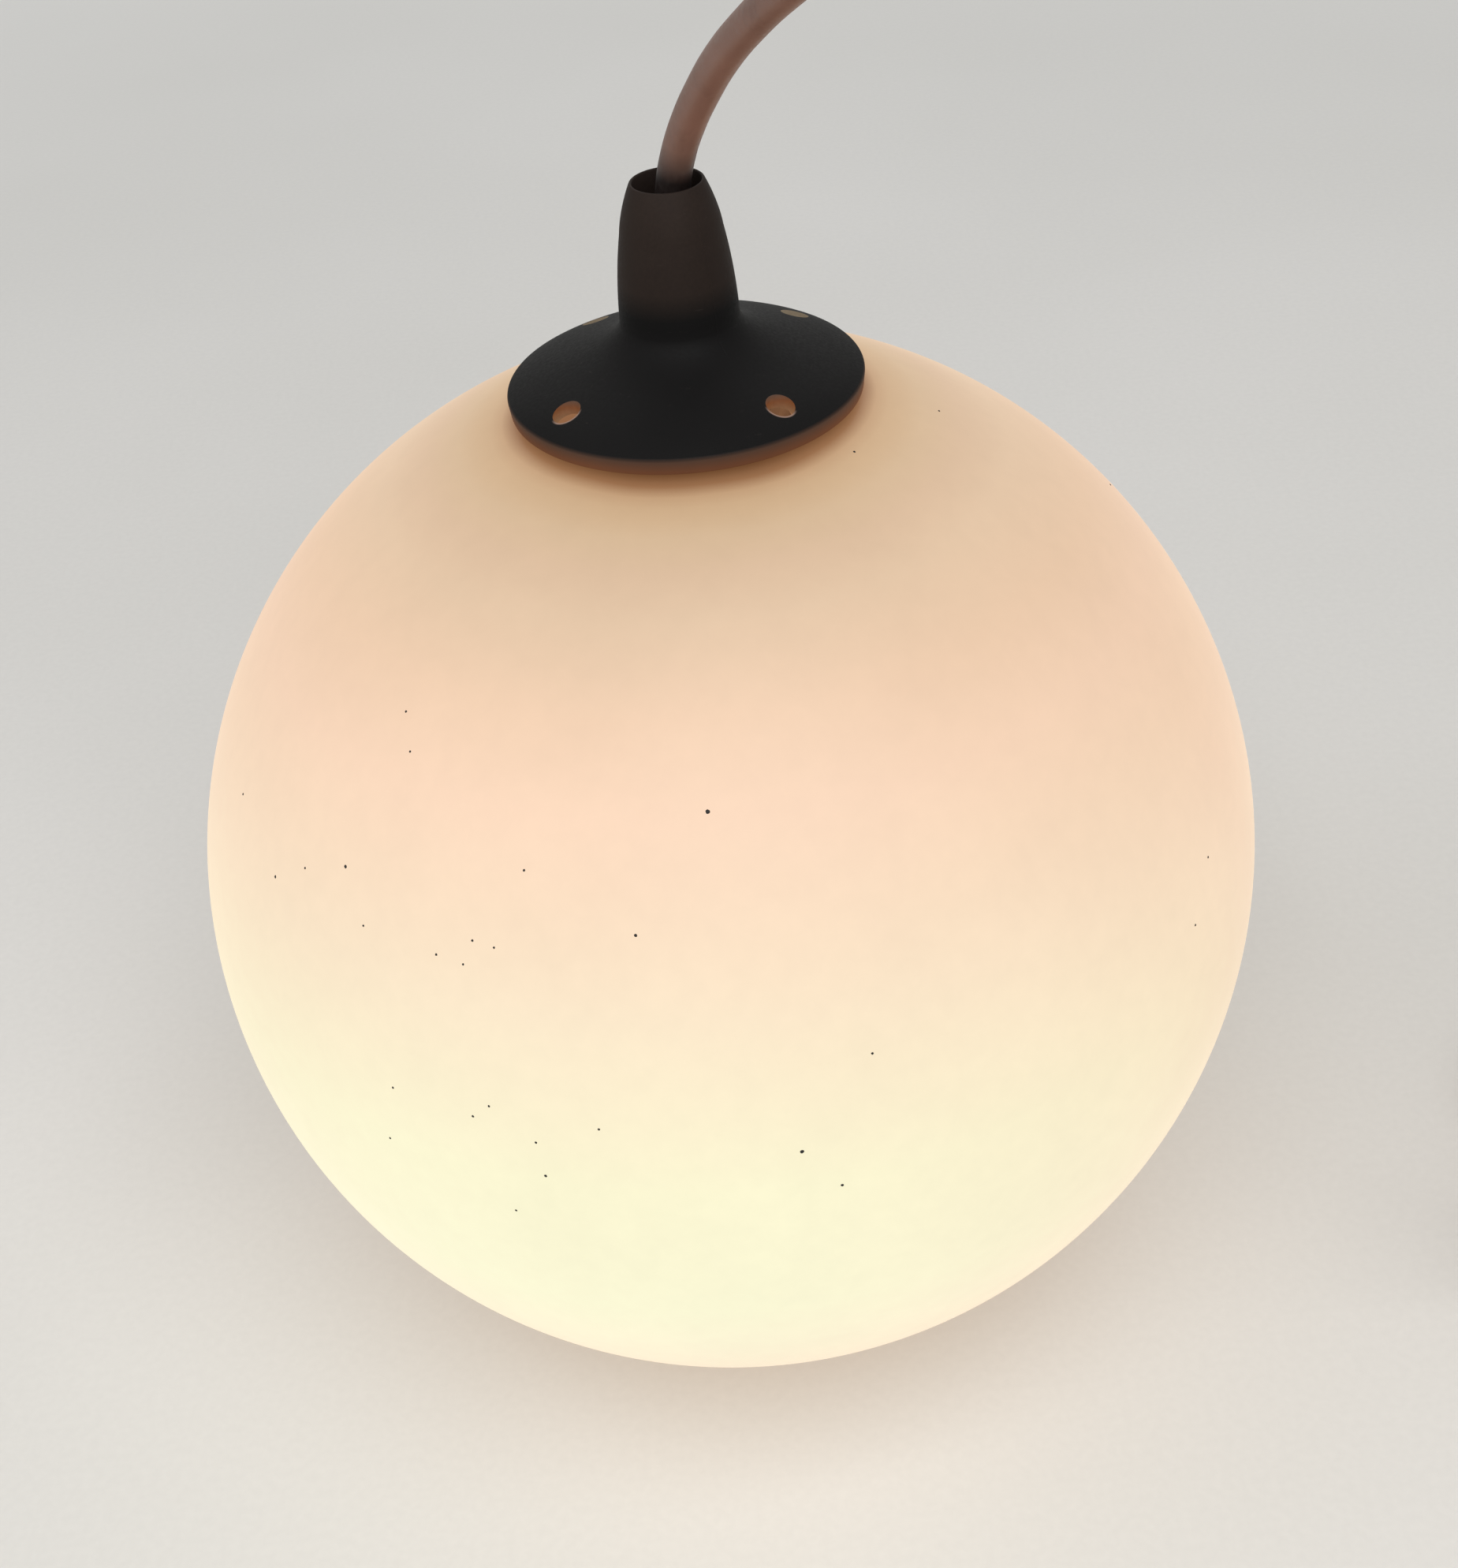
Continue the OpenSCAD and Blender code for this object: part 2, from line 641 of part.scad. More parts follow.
module holder_dome() {
    rise = dome_h - 4.2;
    n = 8;
    function outer_r(t) = dome_boss_r + (holder_r - dome_boss_r) * cos(t);
    outer = [for (i = [0 : n]) let (t = 90 * i / n) [outer_r(t), 3 + rise * sin(t)]];
    inner = [for (i = [n : -1 : 0]) let (t = 90 * i / n)
        [nipple_r + 1 + (spigot_in_r - nipple_r - 1) * cos(t), 2 + (rise - 2) * sin(t)]];
    color(bakelite)
        translate([0, 0, dome_z])
            rotate_extrude($fn = round_fn)
                polygon(concat([[holder_r, 0]], outer,
                    [[dome_boss_r, dome_h], [nipple_r + slip, dome_h], [nipple_r + slip, rise]], inner,
                    [[spigot_in_r, -spigot_h], [spigot_out_r, -spigot_h], [spigot_out_r, 0]]));
}

terminal_screw_r = 1.4;
module holder_insert() {
    ring_r = shell_mid_r + thread_depth / 2 + shell_t;
    well_r = contact_l / 2 + 0.6;
    color([0.9, 0.88, 0.82])
        difference() {
            union() {
                translate([0, 0, insert_z])
                    cylinder(h = insert_h, r = insert_r, $fn = round_fn);
                translate([0, 0, insert_z - ring_h])
                    cylinder(h = ring_h + eps, r = ring_r, $fn = round_fn);
            }
            translate([0, 0, insert_z - ring_h - 1])
                cylinder(h = ring_h + 1, r = well_r, $fn = round_fn);
            for (s = [-1, 1]) {
                translate([s * terminal_r, 0, side_terminal_z - 1])
                    cylinder(h = insert_h, r = terminal_hole_r, $fn = small_fn);
                translate([s * terminal_r, 0, side_terminal_z + 1])
                    rotate([0, s * 90, 0])
                        cylinder(h = insert_r, r = terminal_screw_r + slip, $fn = small_fn);
            }
        }
}

module terminal_screws() {
    core_r = 1.15;
    start = terminal_r + core_r;
    slot_w = 0.5;
    slot_h = 0.8;
    reach = insert_r - start - seat;
    color(brass)
        for (s = [-1, 1])
            translate([s * start, 0, side_terminal_z + 1])
                rotate([0, s * 90, 0])
                    difference() {
                        cylinder(h = reach, r = terminal_screw_r, $fn = small_fn);
                        translate([-terminal_screw_r - 1, -slot_w / 2, reach - slot_h])
                            cube([2 * terminal_screw_r + 2, slot_w, slot_h + 1]);
                    }
}

module holder_skirt() {
    h = skirt_top_z - skirt_z;
    low_r = holder_r - 0.4;
    low_in_r = holder_in_r - 1;
    outer = [[low_r - 0.8, 0], [low_r - 0.1, 0.6], [low_r, h * 0.55], [holder_r, h * 0.58], [holder_r, h]];
    inner = [[holder_in_r, h], [holder_in_r, h * 0.45], [low_in_r, h * 0.4],
        [low_in_r, skirt_lip_h + 0.4]];
    color(bakelite)
        translate([0, 0, skirt_z])
            rotate_extrude($fn = round_fn)
                polygon(concat([[skirt_lip_r, 0]], outer, inner, [[skirt_lip_r, skirt_lip_h]]));
}

module screw_shell() {
    shell_z = shell_top_z - shell_l;
    color(brass)
        threaded_wall(shell_mid_r + shell_t, thread_depth, shell_mid_r, shell_z, shell_l, true);
}

module centre_contact() {
    leaf_l = contact_l * 0.35;
    step_x = leaf_l - contact_l / 2 - contact_t;
    rivet_r = 1;
    top_z = insert_z - slip;
    color(brass)
        difference() {
            union() {
                translate([-contact_l / 2, -contact_w / 2, top_z - contact_t])
                    cube([leaf_l, contact_w, contact_t]);
                translate([step_x, -contact_w / 2, contact_z])
                    cube([contact_t, contact_w, top_z - contact_z]);
                translate([step_x, -contact_w / 2, contact_z])
                    cube([leaf_l, contact_w, contact_t]);
            }
            translate([-contact_l / 2 + 3 * rivet_r, 0, contact_z - 1])
                cylinder(h = top_z - contact_z + 2, r = rivet_r, $fn = small_fn);
        }
}

module claw_pins() {
    pin_l = 2 * (ear_gap + ear_t) + 0.8;
    color(steel)
        for (a = claw_angles)
            at_claw(a)
                translate([claw_hinge_r, 0, hinge_z])
                    rotate([90, 0, 0])
                        cylinder(h = pin_l, r = pin_r, center = true, $fn = small_fn);
}

module claw_springs() {
    leg_end = [-4, spring_side, claw_hinge_drop - spring_wire_d / 2 - slip];
    path = concat([leg_end, [-1.6, spring_side, spring_r + 0.3]], spring_path);
    color(steel)
        for (a = claw_angles)
            at_claw(a)
                translate([claw_hinge_r, 0, hinge_z])
                    tube(path, spring_wire_d / 2, 6);
}

// Corners of a strip of thickness t along a line
function strip(line, t) = concat(inset(line, t / 2), turned(inset(line, -t / 2)));

module claw_arm(k) {
    line = [[claw_hinge_r + 0.6, hinge_z - 1.2], [elbow_r, elbow_z], [claw_tip_r, tip_z]];
    color(steel)
        at_claw(claw_angles[k - 1])
            difference() {
                union() {
                    across(claw_w, -claw_w / 2)
                        polygon(strip(line, claw_t));
                    translate([claw_hinge_r, -claw_w / 2 + barrel_l, hinge_z])
                        rotate([90, 0, 0])
                            cylinder(h = barrel_l, r = barrel_r, $fn = small_fn);
                }
                translate([claw_hinge_r, claw_w, hinge_z])
                    rotate([90, 0, 0])
                        cylinder(h = 2 * claw_w, r = pin_r + run, $fn = small_fn);
                translate([claw_hinge_r, claw_w / 2 + 1, hinge_z])
                    rotate([90, 0, 0])
                        cylinder(h = claw_w - barrel_l + 1, r = spring_r + spring_wire_d / 2 + fit,
                            $fn = small_fn);
            }
}

module claw_arm_1() claw_arm(1);
module claw_arm_2() claw_arm(2);
module claw_arm_3() claw_arm(3);

module claw_sleeve(k) {
    sleeve_l = claw_w + 0.8;
    tip = [claw_tip_r, tip_z];
    back = unit([elbow_r, elbow_z] - tip);
    slot = [tip - 0.15 * back, tip + sleeve_d * back];
    slot_w = claw_w + 2 * slip;
    color([0.55, 0.2, 0.15])
        at_claw(claw_angles[k - 1])
            difference() {
                translate([claw_tip_r, 0, tip_z])
                    rotate([90, 0, 0])
                        cylinder(h = sleeve_l, r = sleeve_d / 2, center = true, $fn = small_fn);
                across(slot_w, -slot_w / 2)
                    polygon(strip(slot, claw_t + slip));
            }
}

module claw_sleeve_1() claw_sleeve(1);
module claw_sleeve_2() claw_sleeve(2);
module claw_sleeve_3() claw_sleeve(3);

module spring_leg(k) {
    y = spring_side + spring_pitch * spring_turns;
    wire_r = spring_wire_d / 2;
    out = unit([claw_tip_r - elbow_r, tip_z - elbow_z]);
    under = [out[1], -out[0]];
    foot_l = 6;
    knee_back = 0.6;
    bend = [elbow_r, elbow_z] + (claw_t / 2 + wire_r + slip) * under - knee_back * out;
    foot = bend + foot_l * out;
    start = [claw_hinge_r - 0.4, hinge_z - spring_r - 2 * wire_r - slip];
    color(steel)
        at_claw(claw_angles[k - 1])
            tube([for (p = [start, (start + bend) / 2, bend, foot]) [p[0], y, p[1]]], wire_r, 6);
}

module spring_leg_1() spring_leg(1);
module spring_leg_2() spring_leg(2);
module spring_leg_3() spring_leg(3);

module bulb_contact_pip() {
    color(steel)
        translate([0, 0, insulator_z])
            rotate_extrude($fn = small_fn)
                polygon(concat([[0, 0]], [for (i = [0 : 4]) let (a = 90 * i / 4)
                    [pip_r * cos(a), pip_h * (0.3 + 0.7 * sin(a))]]));
}

module bulb_insulator() {
    color(bakelite)
        translate([0, 0, base_top_z + run])
            cylinder(h = insulator_h - 2 * run, r1 = insulator_r, r2 = pip_r + 1.6, $fn = small_fn);
}

module bulb_base() {
    end_h = 1.4;
    lap = 0.05;
    threaded_l = base_l - collar_h - end_h;
    color(steel)
        union() {
            threaded_wall(thread_mid_r, thread_depth, base_root_r - base_wall, base_z + collar_h,
                threaded_l, false);
            translate([0, 0, base_top_z - end_h - lap])
                difference() {
                    cylinder(h = end_h + lap, r1 = base_root_r - 2 * lap, r2 = insulator_r + 0.6,
                        $fn = thread_sides);
                    translate([0, 0, -1])
                        cylinder(h = end_h + 3, r = insulator_r - 1, $fn = thread_sides);
                }
            translate([0, 0, base_z])
                difference() {
                    cylinder(h = collar_h + 2 * lap, r = base_root_r - lap, $fn = thread_sides);
                    translate([0, 0, -1])
                        cylinder(h = collar_h + 3, r = bulb_neck_r + slip, $fn = thread_sides);
                }
        }
}

module bulb_glass() {
    n = 14;
    end_angle = 38;
    side = [for (i = [0 : n]) let (a = (end_angle + 90) * i / n - 90)
        [bulb_r * cos(a), bulb_centre_z + bulb_r * sin(a)]];
    shoulder = side[n];
    lead = 5 * [-sin(end_angle), cos(end_angle)];
    neck_foot = [bulb_neck_r, base_z - fit];
    neck = tail(bezier(shoulder, shoulder + lead, neck_foot - [0, 5], neck_foot, 6));
    outer = concat(side, neck, [[bulb_neck_r, bulb_neck_z]]);
    inner = [for (p = inset(outer, bulb_wall)) [max(p[0], 0), p[1]]];
    color([0.95, 0.93, 0.88])
        rotate_extrude($fn = round_fn)
            polygon(concat(outer, turned(inner)));
}

module bulb_stem() {
    flare_top_h = 2;
    stem_l = bulb_neck_z - stem_foot_z - flare_top_h;
    color([0.8, 0.86, 0.84])
        translate([0, 0, stem_foot_z])
            union() {
                cylinder(h = stem_l, r1 = stem_r * 0.7, r2 = stem_r, $fn = small_fn);
                translate([0, 0, stem_l])
                    cylinder(h = flare_top_h, r1 = stem_r, r2 = bulb_neck_r - bulb_wall - slip,
                        $fn = small_fn);
            }
}

module bulb_lead_wires() {
    color(steel)
        for (s = [-1, 1])
            tube([[s * 1.6, 0, stem_foot_z - slip], [s * 2.4, 0, stem_foot_z - 2],
                [s * filament_half, 0, filament_z + 1], [s * filament_half, 0, filament_z + lead_r + run]],
                lead_r, 6);
}

module bulb_filament() {
    n = 12;
    color(steel)
        tube([for (i = [0 : n]) let (t = i / n)
            [filament_half * (2 * t - 1), 3 * sin(180 * t), filament_z - 1.5 * sin(180 * t)]], lead_r, 6);
}

module cord() {
    color(cord_tan)
        tube(cord_route, cord_r, 10);
}

module cord_coil() {
    color(cord_tan)
        tube(coil_path, cord_r, coil_sides);
}

module coil_tie() {
    in_r = coil_r - coil_step * coil_turns / 2 - cord_r - fit;
    out_r = coil_r + cord_r + fit;
    low = coil_z - cord_r - fit;
    high = coil_z + coil_step + cord_r + fit;
    tie_w = 7;
    color([0.9, 0.9, 0.88])
        translate([coil_x - tie_w / 2, coil_y, 0])
            difference() {
                translate([0, in_r - tie_t, low - tie_t])
                    cube([tie_w, out_r - in_r + 2 * tie_t, high - low + 2 * tie_t]);
                translate([-1, in_r, low])
                    cube([tie_w + 2, out_r - in_r, high - low]);
            }
}

module cord_to_cup() {
    color(cord_tan)
        tube(cup_route, cord_r, 10);
}

nozzle_wall = 3.2;
nozzle_r = cord_way_r + nozzle_wall;
cup_screw_z = cup_h + nozzle_h * 0.55;
cup_screw_r = 1.5;
module ceiling_cup() {
    rim_h = 2.5;
    flare_drop = 1.6;
    flare_w = 6;
    cup_r = cup_d / 2;
    flare_foot = [nozzle_r + flare_w, cup_h - flare_drop];
    dome = bezier([cup_r, rim_h], [cup_r - 1, cup_h * 0.62], [cup_r * 0.68, cup_h * 0.86], flare_foot, 10);
    flare = tail(bezier(flare_foot, [nozzle_r + flare_w / 3, cup_h - flare_drop / 2],
        [nozzle_r + 0.4, cup_h], [nozzle_r, cup_h + 3], 4));
    outer = concat(dome, flare);
    inner = turned(inset(dome, cup_wall));
    bore = [[nozzle_r - 0.3, cup_h + nozzle_h], [cord_way_r, cup_h + nozzle_h],
        [cord_way_r, cup_h - flare_drop - cup_wall]];
    color(cup_cream)
        translate([cup_x, cup_y, floor_z])
            difference() {
                rotate_extrude($fn = round_fn)
                    polygon(concat([[cup_r, 0]], outer, bore, inner, [[cup_r - cup_wall, 0]]));
                translate([0, 0, cup_screw_z])
                    rotate([90, 0, 0])
                        cylinder(h = nozzle_r + 2, r = cup_screw_r + slip, $fn = small_fn);
            }
}

module cup_screw() {
    start = cord_r + slip;
    head_z = nozzle_r + 0.4 - start;
    head_t = 1.6;
    head_r = 2.6;
    slot_w = 0.7;
    color([0.9, 0.88, 0.84])
        translate([cup_x, cup_y - start, floor_z + cup_screw_z])
            rotate([90, 0, 0])
                difference() {
                    union() {
                        cylinder(h = head_z + head_t / 2, r = cup_screw_r, $fn = small_fn);
                        translate([0, 0, head_z])
                            cylinder(h = head_t, r = head_r, $fn = small_fn);
                    }
                    translate([-head_r - 1, -slot_w / 2, head_z + head_t / 2])
                        cube([2 * head_r + 2, slot_w, head_t]);
                }
}

eye_z = 8.2;
eye_r = 5.2;
eye_wire_r = 1.4;
clamp_z = eye_z + eye_r + eye_wire_r / 2;
clamp_r = 5.5;
clamp_h = 7.6;
clamp_seat_z = cord_far_end[2] - floor_z - seat;
clamp_wire_y = 3.2;
cup_wire_r = 0.9;
module cord_clamp_eye() {
    color(steel)
        translate([cup_x, cup_y, floor_z])
            union() {
                translate([0, 0, eye_z])
                    rotate([90, 0, 0])
                        rotate_extrude($fn = small_fn)
                            translate([eye_r, 0])
                                circle(r = eye_wire_r, $fn = small_fn);
                difference() {
                    translate([0, 0, clamp_z])
                        cylinder(h = clamp_h, r = clamp_r, $fn = small_fn);
                    translate([0, 0, clamp_seat_z])
                        cylinder(h = clamp_h, r = cord_way_r, $fn = small_fn);
                    for (s = [-1, 1])
                        translate([0, s * clamp_wire_y, clamp_z - 1])
                            cylinder(h = clamp_h, r = cup_wire_r + seat, $fn = small_fn);
                }
            }
}

block_x = 9.5;
block_l = 16;
block_w = 18;
block_h = 10;
block_z = 2.5;
pole_y = 4.5;
pole_r = 2.2;
pole_z = block_z + 4;
pole_places = [0.25 * block_l, 0.75 * block_l];
block_screw_r = 1.6;
module cup_wires() {
    color([0.4, 0.3, 0.4])
        translate([cup_x, cup_y, floor_z])
            for (s = [-1, 1])
                tube([[0, s * clamp_wire_y, clamp_seat_z - slip], [0, s * clamp_wire_y, clamp_z],
                    [0.5, s * 3.4, clamp_z - 2], [2.4, s * 3.8, clamp_z - 4.6], [5, s * 4.2, pole_z + 0.8],
                    [7.5, s * pole_y, pole_z], [block_x + 0.4, s * pole_y, pole_z],
                    [block_x + 4, s * pole_y, pole_z]], cup_wire_r, 8);
}

module terminal_block() {
    middle_hole_r = 1.5;
    color([0.92, 0.9, 0.84])
        translate([cup_x, cup_y, floor_z])
            difference() {
                translate([block_x, -block_w / 2, block_z])
                    cube([block_l, block_w, block_h]);
                for (s = [-1, 1]) {
                    translate([block_x - 1, s * pole_y, pole_z])
                        rotate([0, 90, 0])
                            cylinder(h = block_l + 2, r = pole_r, $fn = small_fn);
                    for (x = pole_places)
                        translate([block_x + x, s * pole_y, pole_z])
                            cylinder(h = block_h, r = block_screw_r + slip, $fn = small_fn);
                }
                translate([block_x + block_l / 2, 0, block_z - 1])
                    cylinder(h = block_h + 2, r = middle_hole_r, $fn = small_fn);
            }
}

module terminal_barrels() {
    barrel_inset = 0.8;
    bore_r = pole_r - 0.9;
    color(brass)
        translate([cup_x, cup_y, floor_z])
            for (s = [-1, 1])
                translate([block_x + barrel_inset, s * pole_y, pole_z])
                    rotate([0, 90, 0])
                        difference() {
                            cylinder(h = block_l - 2 * barrel_inset, r = pole_r - slip, $fn = small_fn);
                            translate([0, 0, -1])
                                cylinder(h = block_l, r = bore_r, $fn = small_fn);
                        }
}

module block_screws() {
    screw_l = 2.6;
    slot_w = 0.5;
    slot_h = 0.8;
    color(brass)
        translate([cup_x, cup_y, floor_z])
            for (s = [-1, 1])
                for (x = pole_places)
                    translate([block_x + x, s * pole_y, pole_z + pole_r + slip])
                        difference() {
                            cylinder(h = screw_l, r = block_screw_r, $fn = small_fn);
                            translate([-block_screw_r - 1, -slot_w / 2, screw_l - slot_h])
                                cube([2 * block_screw_r + 2, slot_w, slot_h + 1]);
                        }
}

globe();
seal_ring();
cap();
claw_plate();
plate_screws();
nipple();
nipple_nut();
lock_washer();
cord_grip();
grip_screw();
cord_in_neck();
brown_wire();
blue_wire();
holder_dome();
holder_insert();
holder_skirt();
screw_shell();
centre_contact();
terminal_screws();
claw_pins();
claw_springs();
claw_arm_1();
claw_arm_2();
claw_arm_3();
claw_sleeve_1();
claw_sleeve_2();
claw_sleeve_3();
spring_leg_1();
spring_leg_2();
spring_leg_3();
bulb_contact_pip();
bulb_insulator();
bulb_base();
bulb_glass();
bulb_stem();
bulb_lead_wires();
bulb_filament();
cord();
cord_coil();
coil_tie();
cord_to_cup();
ceiling_cup();
cup_screw();
cord_clamp_eye();
cup_wires();
terminal_block();
terminal_barrels();
block_screws();
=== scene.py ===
import json
import math
import random

import bmesh
import bpy
from mathutils import Matrix, Vector


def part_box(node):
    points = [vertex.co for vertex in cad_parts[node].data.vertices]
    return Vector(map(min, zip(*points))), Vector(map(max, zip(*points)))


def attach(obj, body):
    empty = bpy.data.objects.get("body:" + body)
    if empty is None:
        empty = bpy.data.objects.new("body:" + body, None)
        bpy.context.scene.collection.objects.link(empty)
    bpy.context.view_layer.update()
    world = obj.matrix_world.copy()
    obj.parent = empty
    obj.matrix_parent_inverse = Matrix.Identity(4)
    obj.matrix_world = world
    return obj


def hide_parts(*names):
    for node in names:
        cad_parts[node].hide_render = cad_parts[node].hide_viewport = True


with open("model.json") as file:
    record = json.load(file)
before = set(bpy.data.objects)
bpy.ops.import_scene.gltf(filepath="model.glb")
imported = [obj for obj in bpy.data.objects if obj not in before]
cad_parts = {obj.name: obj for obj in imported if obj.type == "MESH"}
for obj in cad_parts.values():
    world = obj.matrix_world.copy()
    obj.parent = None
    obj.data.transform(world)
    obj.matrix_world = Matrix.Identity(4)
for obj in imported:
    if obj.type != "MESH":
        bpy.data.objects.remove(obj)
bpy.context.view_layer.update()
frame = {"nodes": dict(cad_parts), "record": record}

MM = 0.001
NODES = frame["nodes"]
COLLECTION = bpy.context.scene.collection

# Places that the other sizes start from, in metres
BALL_LOW, BALL_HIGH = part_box("globe")
CAP_LOW, CAP_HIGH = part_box("cap")
BALL_R = (BALL_HIGH.x - BALL_LOW.x) / 2
FLOOR_Z = BALL_LOW.z
BALL_CENTRE = Vector((0, 0, FLOOR_Z + BALL_R))
BALL_WALL = 2.5 * MM
MOUTH_R = 27 * MM
FLANGE_R = (CAP_HIGH.x - CAP_LOW.x) / 2
FLANGE_Z = CAP_LOW.z
FLANGE_H = 3.1 * MM
VENT_PITCH_R = 25 * MM
VENT_R = 2.4 * MM
SCREW_PITCH_R = 15 * MM
PLATE_TOP_Z = -34.8 * MM
CORD_D = 5.8 * MM
TIE_T = 0.6 * MM

# Angles round the lamp's axis, in degrees
VENT_TURN = 36.6
SCREW_TURN = 81.6
PARTING_TURN = -55

# Camera, fitted to the photograph. The lens and the sensor are in millimetres
CAMERA_PLACE = Vector((0, -359.4, 136.31)) * MM
CAMERA_AIM = Vector((0.694, 0, -120.898)) * MM
CAMERA_ROLL = math.radians(-5.511)
CAMERA_LENS = 52.756
CAMERA_SENSOR = 36
CAMERA_NEAR = 0.01


def srgb(red, green, blue):
    """A colour as read on a screen, 0 to 255 each, as the linear colour that shaders take."""
    def linear(c):
        c /= 255
        return c / 12.92 if c <= 0.04045 else ((c + 0.055) / 1.055) ** 2.4
    return (linear(red), linear(green), linear(blue), 1)


def make_camera():
    data = bpy.data.cameras.new("camera")
    data.lens = CAMERA_LENS
    data.sensor_width = CAMERA_SENSOR
    data.clip_start = CAMERA_NEAR
    camera = bpy.data.objects.new("camera", data)
    COLLECTION.objects.link(camera)
    aim = (CAMERA_AIM - CAMERA_PLACE).to_track_quat("-Z", "Y").to_matrix().to_4x4()
    camera.matrix_world = Matrix.Translation(CAMERA_PLACE) @ aim @ Matrix.Rotation(CAMERA_ROLL, 4, "Z")
    bpy.context.scene.camera = camera


class Finish:
    """A material whose node tree is built step by step.

    Its keywords are sockets of the shader, with _ for each space in their names.
    """

    def __init__(self, name, **sockets):
        self.material = bpy.data.materials.new(name)
        self.material.use_nodes = True
        self.tree = self.material.node_tree
        self.tree.nodes.clear()
        self.shader = self.add("ShaderNodeBsdfPrincipled")
        output = self.add("ShaderNodeOutputMaterial")
        self.link(self.shader.outputs["BSDF"], output.inputs["Surface"])
        self.coords = self.add("ShaderNodeTexCoord").outputs["Object"]
        for socket, value in sockets.items():
            self.shader.inputs[socket.replace("_", " ")].default_value = value

    def add(self, kind, **settings):
        node = self.tree.nodes.new(kind)
        for key, value in settings.items():
            setattr(node, key, value)
        return node

    def link(self, source, target):
        self.tree.links.new(source, target)

    def feed(self, socket, value):
        """Gives a socket a number, a colour or another socket's value."""
        if hasattr(value, "links"):
            self.link(value, socket)
        else:
            socket.default_value = value

    def to(self, socket, value):
        """Gives one of the shader's sockets its value."""
        self.feed(self.shader.inputs[socket], value)

    def math(self, operation, a, b=0.0):
        node = self.add("ShaderNodeMath", operation=operation)
        for socket, value in zip(node.inputs, (a, b)):
            self.feed(socket, value)
        return node.outputs[0]

    def product(self, first, *others):
        for other in others:
            first = self.math("MULTIPLY", first, other)
        return first

    def distance(self, a, b):
        """The length of a line that goes a one way and b at right angles to it."""
        squares = self.math("ADD", self.product(a, a), self.product(b, b))
        return self.math("SQRT", squares)

    def vector(self, operation, a, b=(0, 0, 0)):
        node = self.add("ShaderNodeVectorMath", operation=operation)
        self.feed(node.inputs[0], a)
        self.feed(node.inputs[1], b)
        return node.outputs["Value" if operation in ("LENGTH", "DISTANCE", "DOT_PRODUCT") else "Vector"]

    def split(self, vector):
        node = self.add("ShaderNodeSeparateXYZ")
        self.link(vector, node.inputs[0])
        return node.outputs

    def ramp(self, value, stops):
        node = self.add("ShaderNodeValToRGB")
        band = node.color_ramp
        while len(band.elements) < len(stops):
            band.elements.new(0.5)
        for element, (place, colour) in zip(band.elements, stops):
            element.position = place
            element.color = colour
        self.feed(node.inputs[0], value)
        return node.outputs["Color"]

    def span(self, value, low, high, to_low=0.0, to_high=1.0):
        """A value moved from one span to another, held at its ends."""
        node = self.add("ShaderNodeMapRange")
        for socket, number in zip(node.inputs, (value, low, high, to_low, to_high)):
            self.feed(socket, number)
        return node.outputs[0]

    def vary(self, noise, low=0.0, high=1.0):
        """Noise, most of which lies between 0.3 and 0.7, spread over a span."""
        return self.span(noise, 0.3, 0.7, low, high)

    def noise(self, size, stretch=(1, 1, 1), detail=3, roughness=0.5, shift=0.0):
        """Noise whose grain is about size metres."""
        moved = self.add("ShaderNodeMapping")
        self.link(self.coords, moved.inputs["Vector"])
        moved.inputs["Location"].default_value = (shift, shift, shift)
        moved.inputs["Scale"].default_value = stretch
        node = self.add("ShaderNodeTexNoise")
        self.link(moved.outputs[0], node.inputs["Vector"])
        node.inputs["Scale"].default_value = 1 / size
        node.inputs["Detail"].default_value = detail
        node.inputs["Roughness"].default_value = roughness
        return node.outputs["Fac"]

    def mix(self, factor, a, b):
        """Two colours mixed: the colour sockets of the node are 6 and 7, its colour output 2."""
        node = self.add("ShaderNodeMix", data_type="RGBA", blend_type="MIX")
        for socket, value in zip((node.inputs[0], node.inputs[6], node.inputs[7]), (factor, a, b)):
            self.feed(socket, value)
        return node.outputs[2]

    def scaled(self, colour, factor):
        node = self.add("ShaderNodeVectorMath", operation="SCALE")
        self.feed(node.inputs[0], colour[:3] if isinstance(colour, tuple) else colour)
        self.feed(node.inputs["Scale"], factor)
        return node.outputs["Vector"]

    def shine(self, colour, strength=1.0):
        """Light of the surface's own."""
        self.to("Emission Color", colour)
        self.to("Emission Strength", strength)

    def bump(self, height, depth, strength, under=None):
        """A relief of depth metres, on top of another relief if one is given."""
        node = self.add("ShaderNodeBump")
        node.inputs["Strength"].default_value = strength
        node.inputs["Distance"].default_value = depth
        self.feed(node.inputs["Height"], height)
        if under is not None:
            self.link(under, node.inputs["Normal"])
        self.link(node.outputs[0], self.shader.inputs["Normal"])
        return node.outputs[0]


# Materials

def crown_place(degrees):
    """Where an angle from the ball's top lies on a colour ramp from its top to its bottom."""
    return (1 - math.cos(math.radians(degrees))) / 2


# The lit glass's colours, each with its angle in degrees from the top of the ball. Under and next to the cap,
# up to about 19.5 degrees, they are darker: painted shade of the flange
CROWN_GLOW = [
    (0, (106, 69, 42)), (17.2, (122, 82, 52)), (17.7, (158, 114, 78)), (18, (180, 136, 99)),
    (19.5, (202, 168, 131)), (21, (206, 173, 136)), (24, (213, 183, 149)), (28, (219, 188, 157)),
    (33, (227, 197, 166))]
# Painted light and shade: the front side's colours are brighter and yellower than those of the sides and back
FRONT_GLOW = CROWN_GLOW + [
    (42, (245, 211, 181)), (51, (252, 219, 191)), (60, (252, 226, 197)), (69, (252, 233, 203)),
    (78, (252, 240, 207)), (87, (252, 247, 211)), (105, (252, 249, 214)), (114, (251, 244, 212)),
    (126, (248, 233, 205)), (180, (240, 216, 190))]
BACK_GLOW = CROWN_GLOW + [
    (42, (232, 199, 168)), (51, (238, 204, 175)), (60, (241, 208, 178)), (69, (243, 211, 182)),
    (78, (246, 217, 188)), (96, (248, 225, 196)), (114, (248, 226, 198)), (180, (238, 212, 186))]
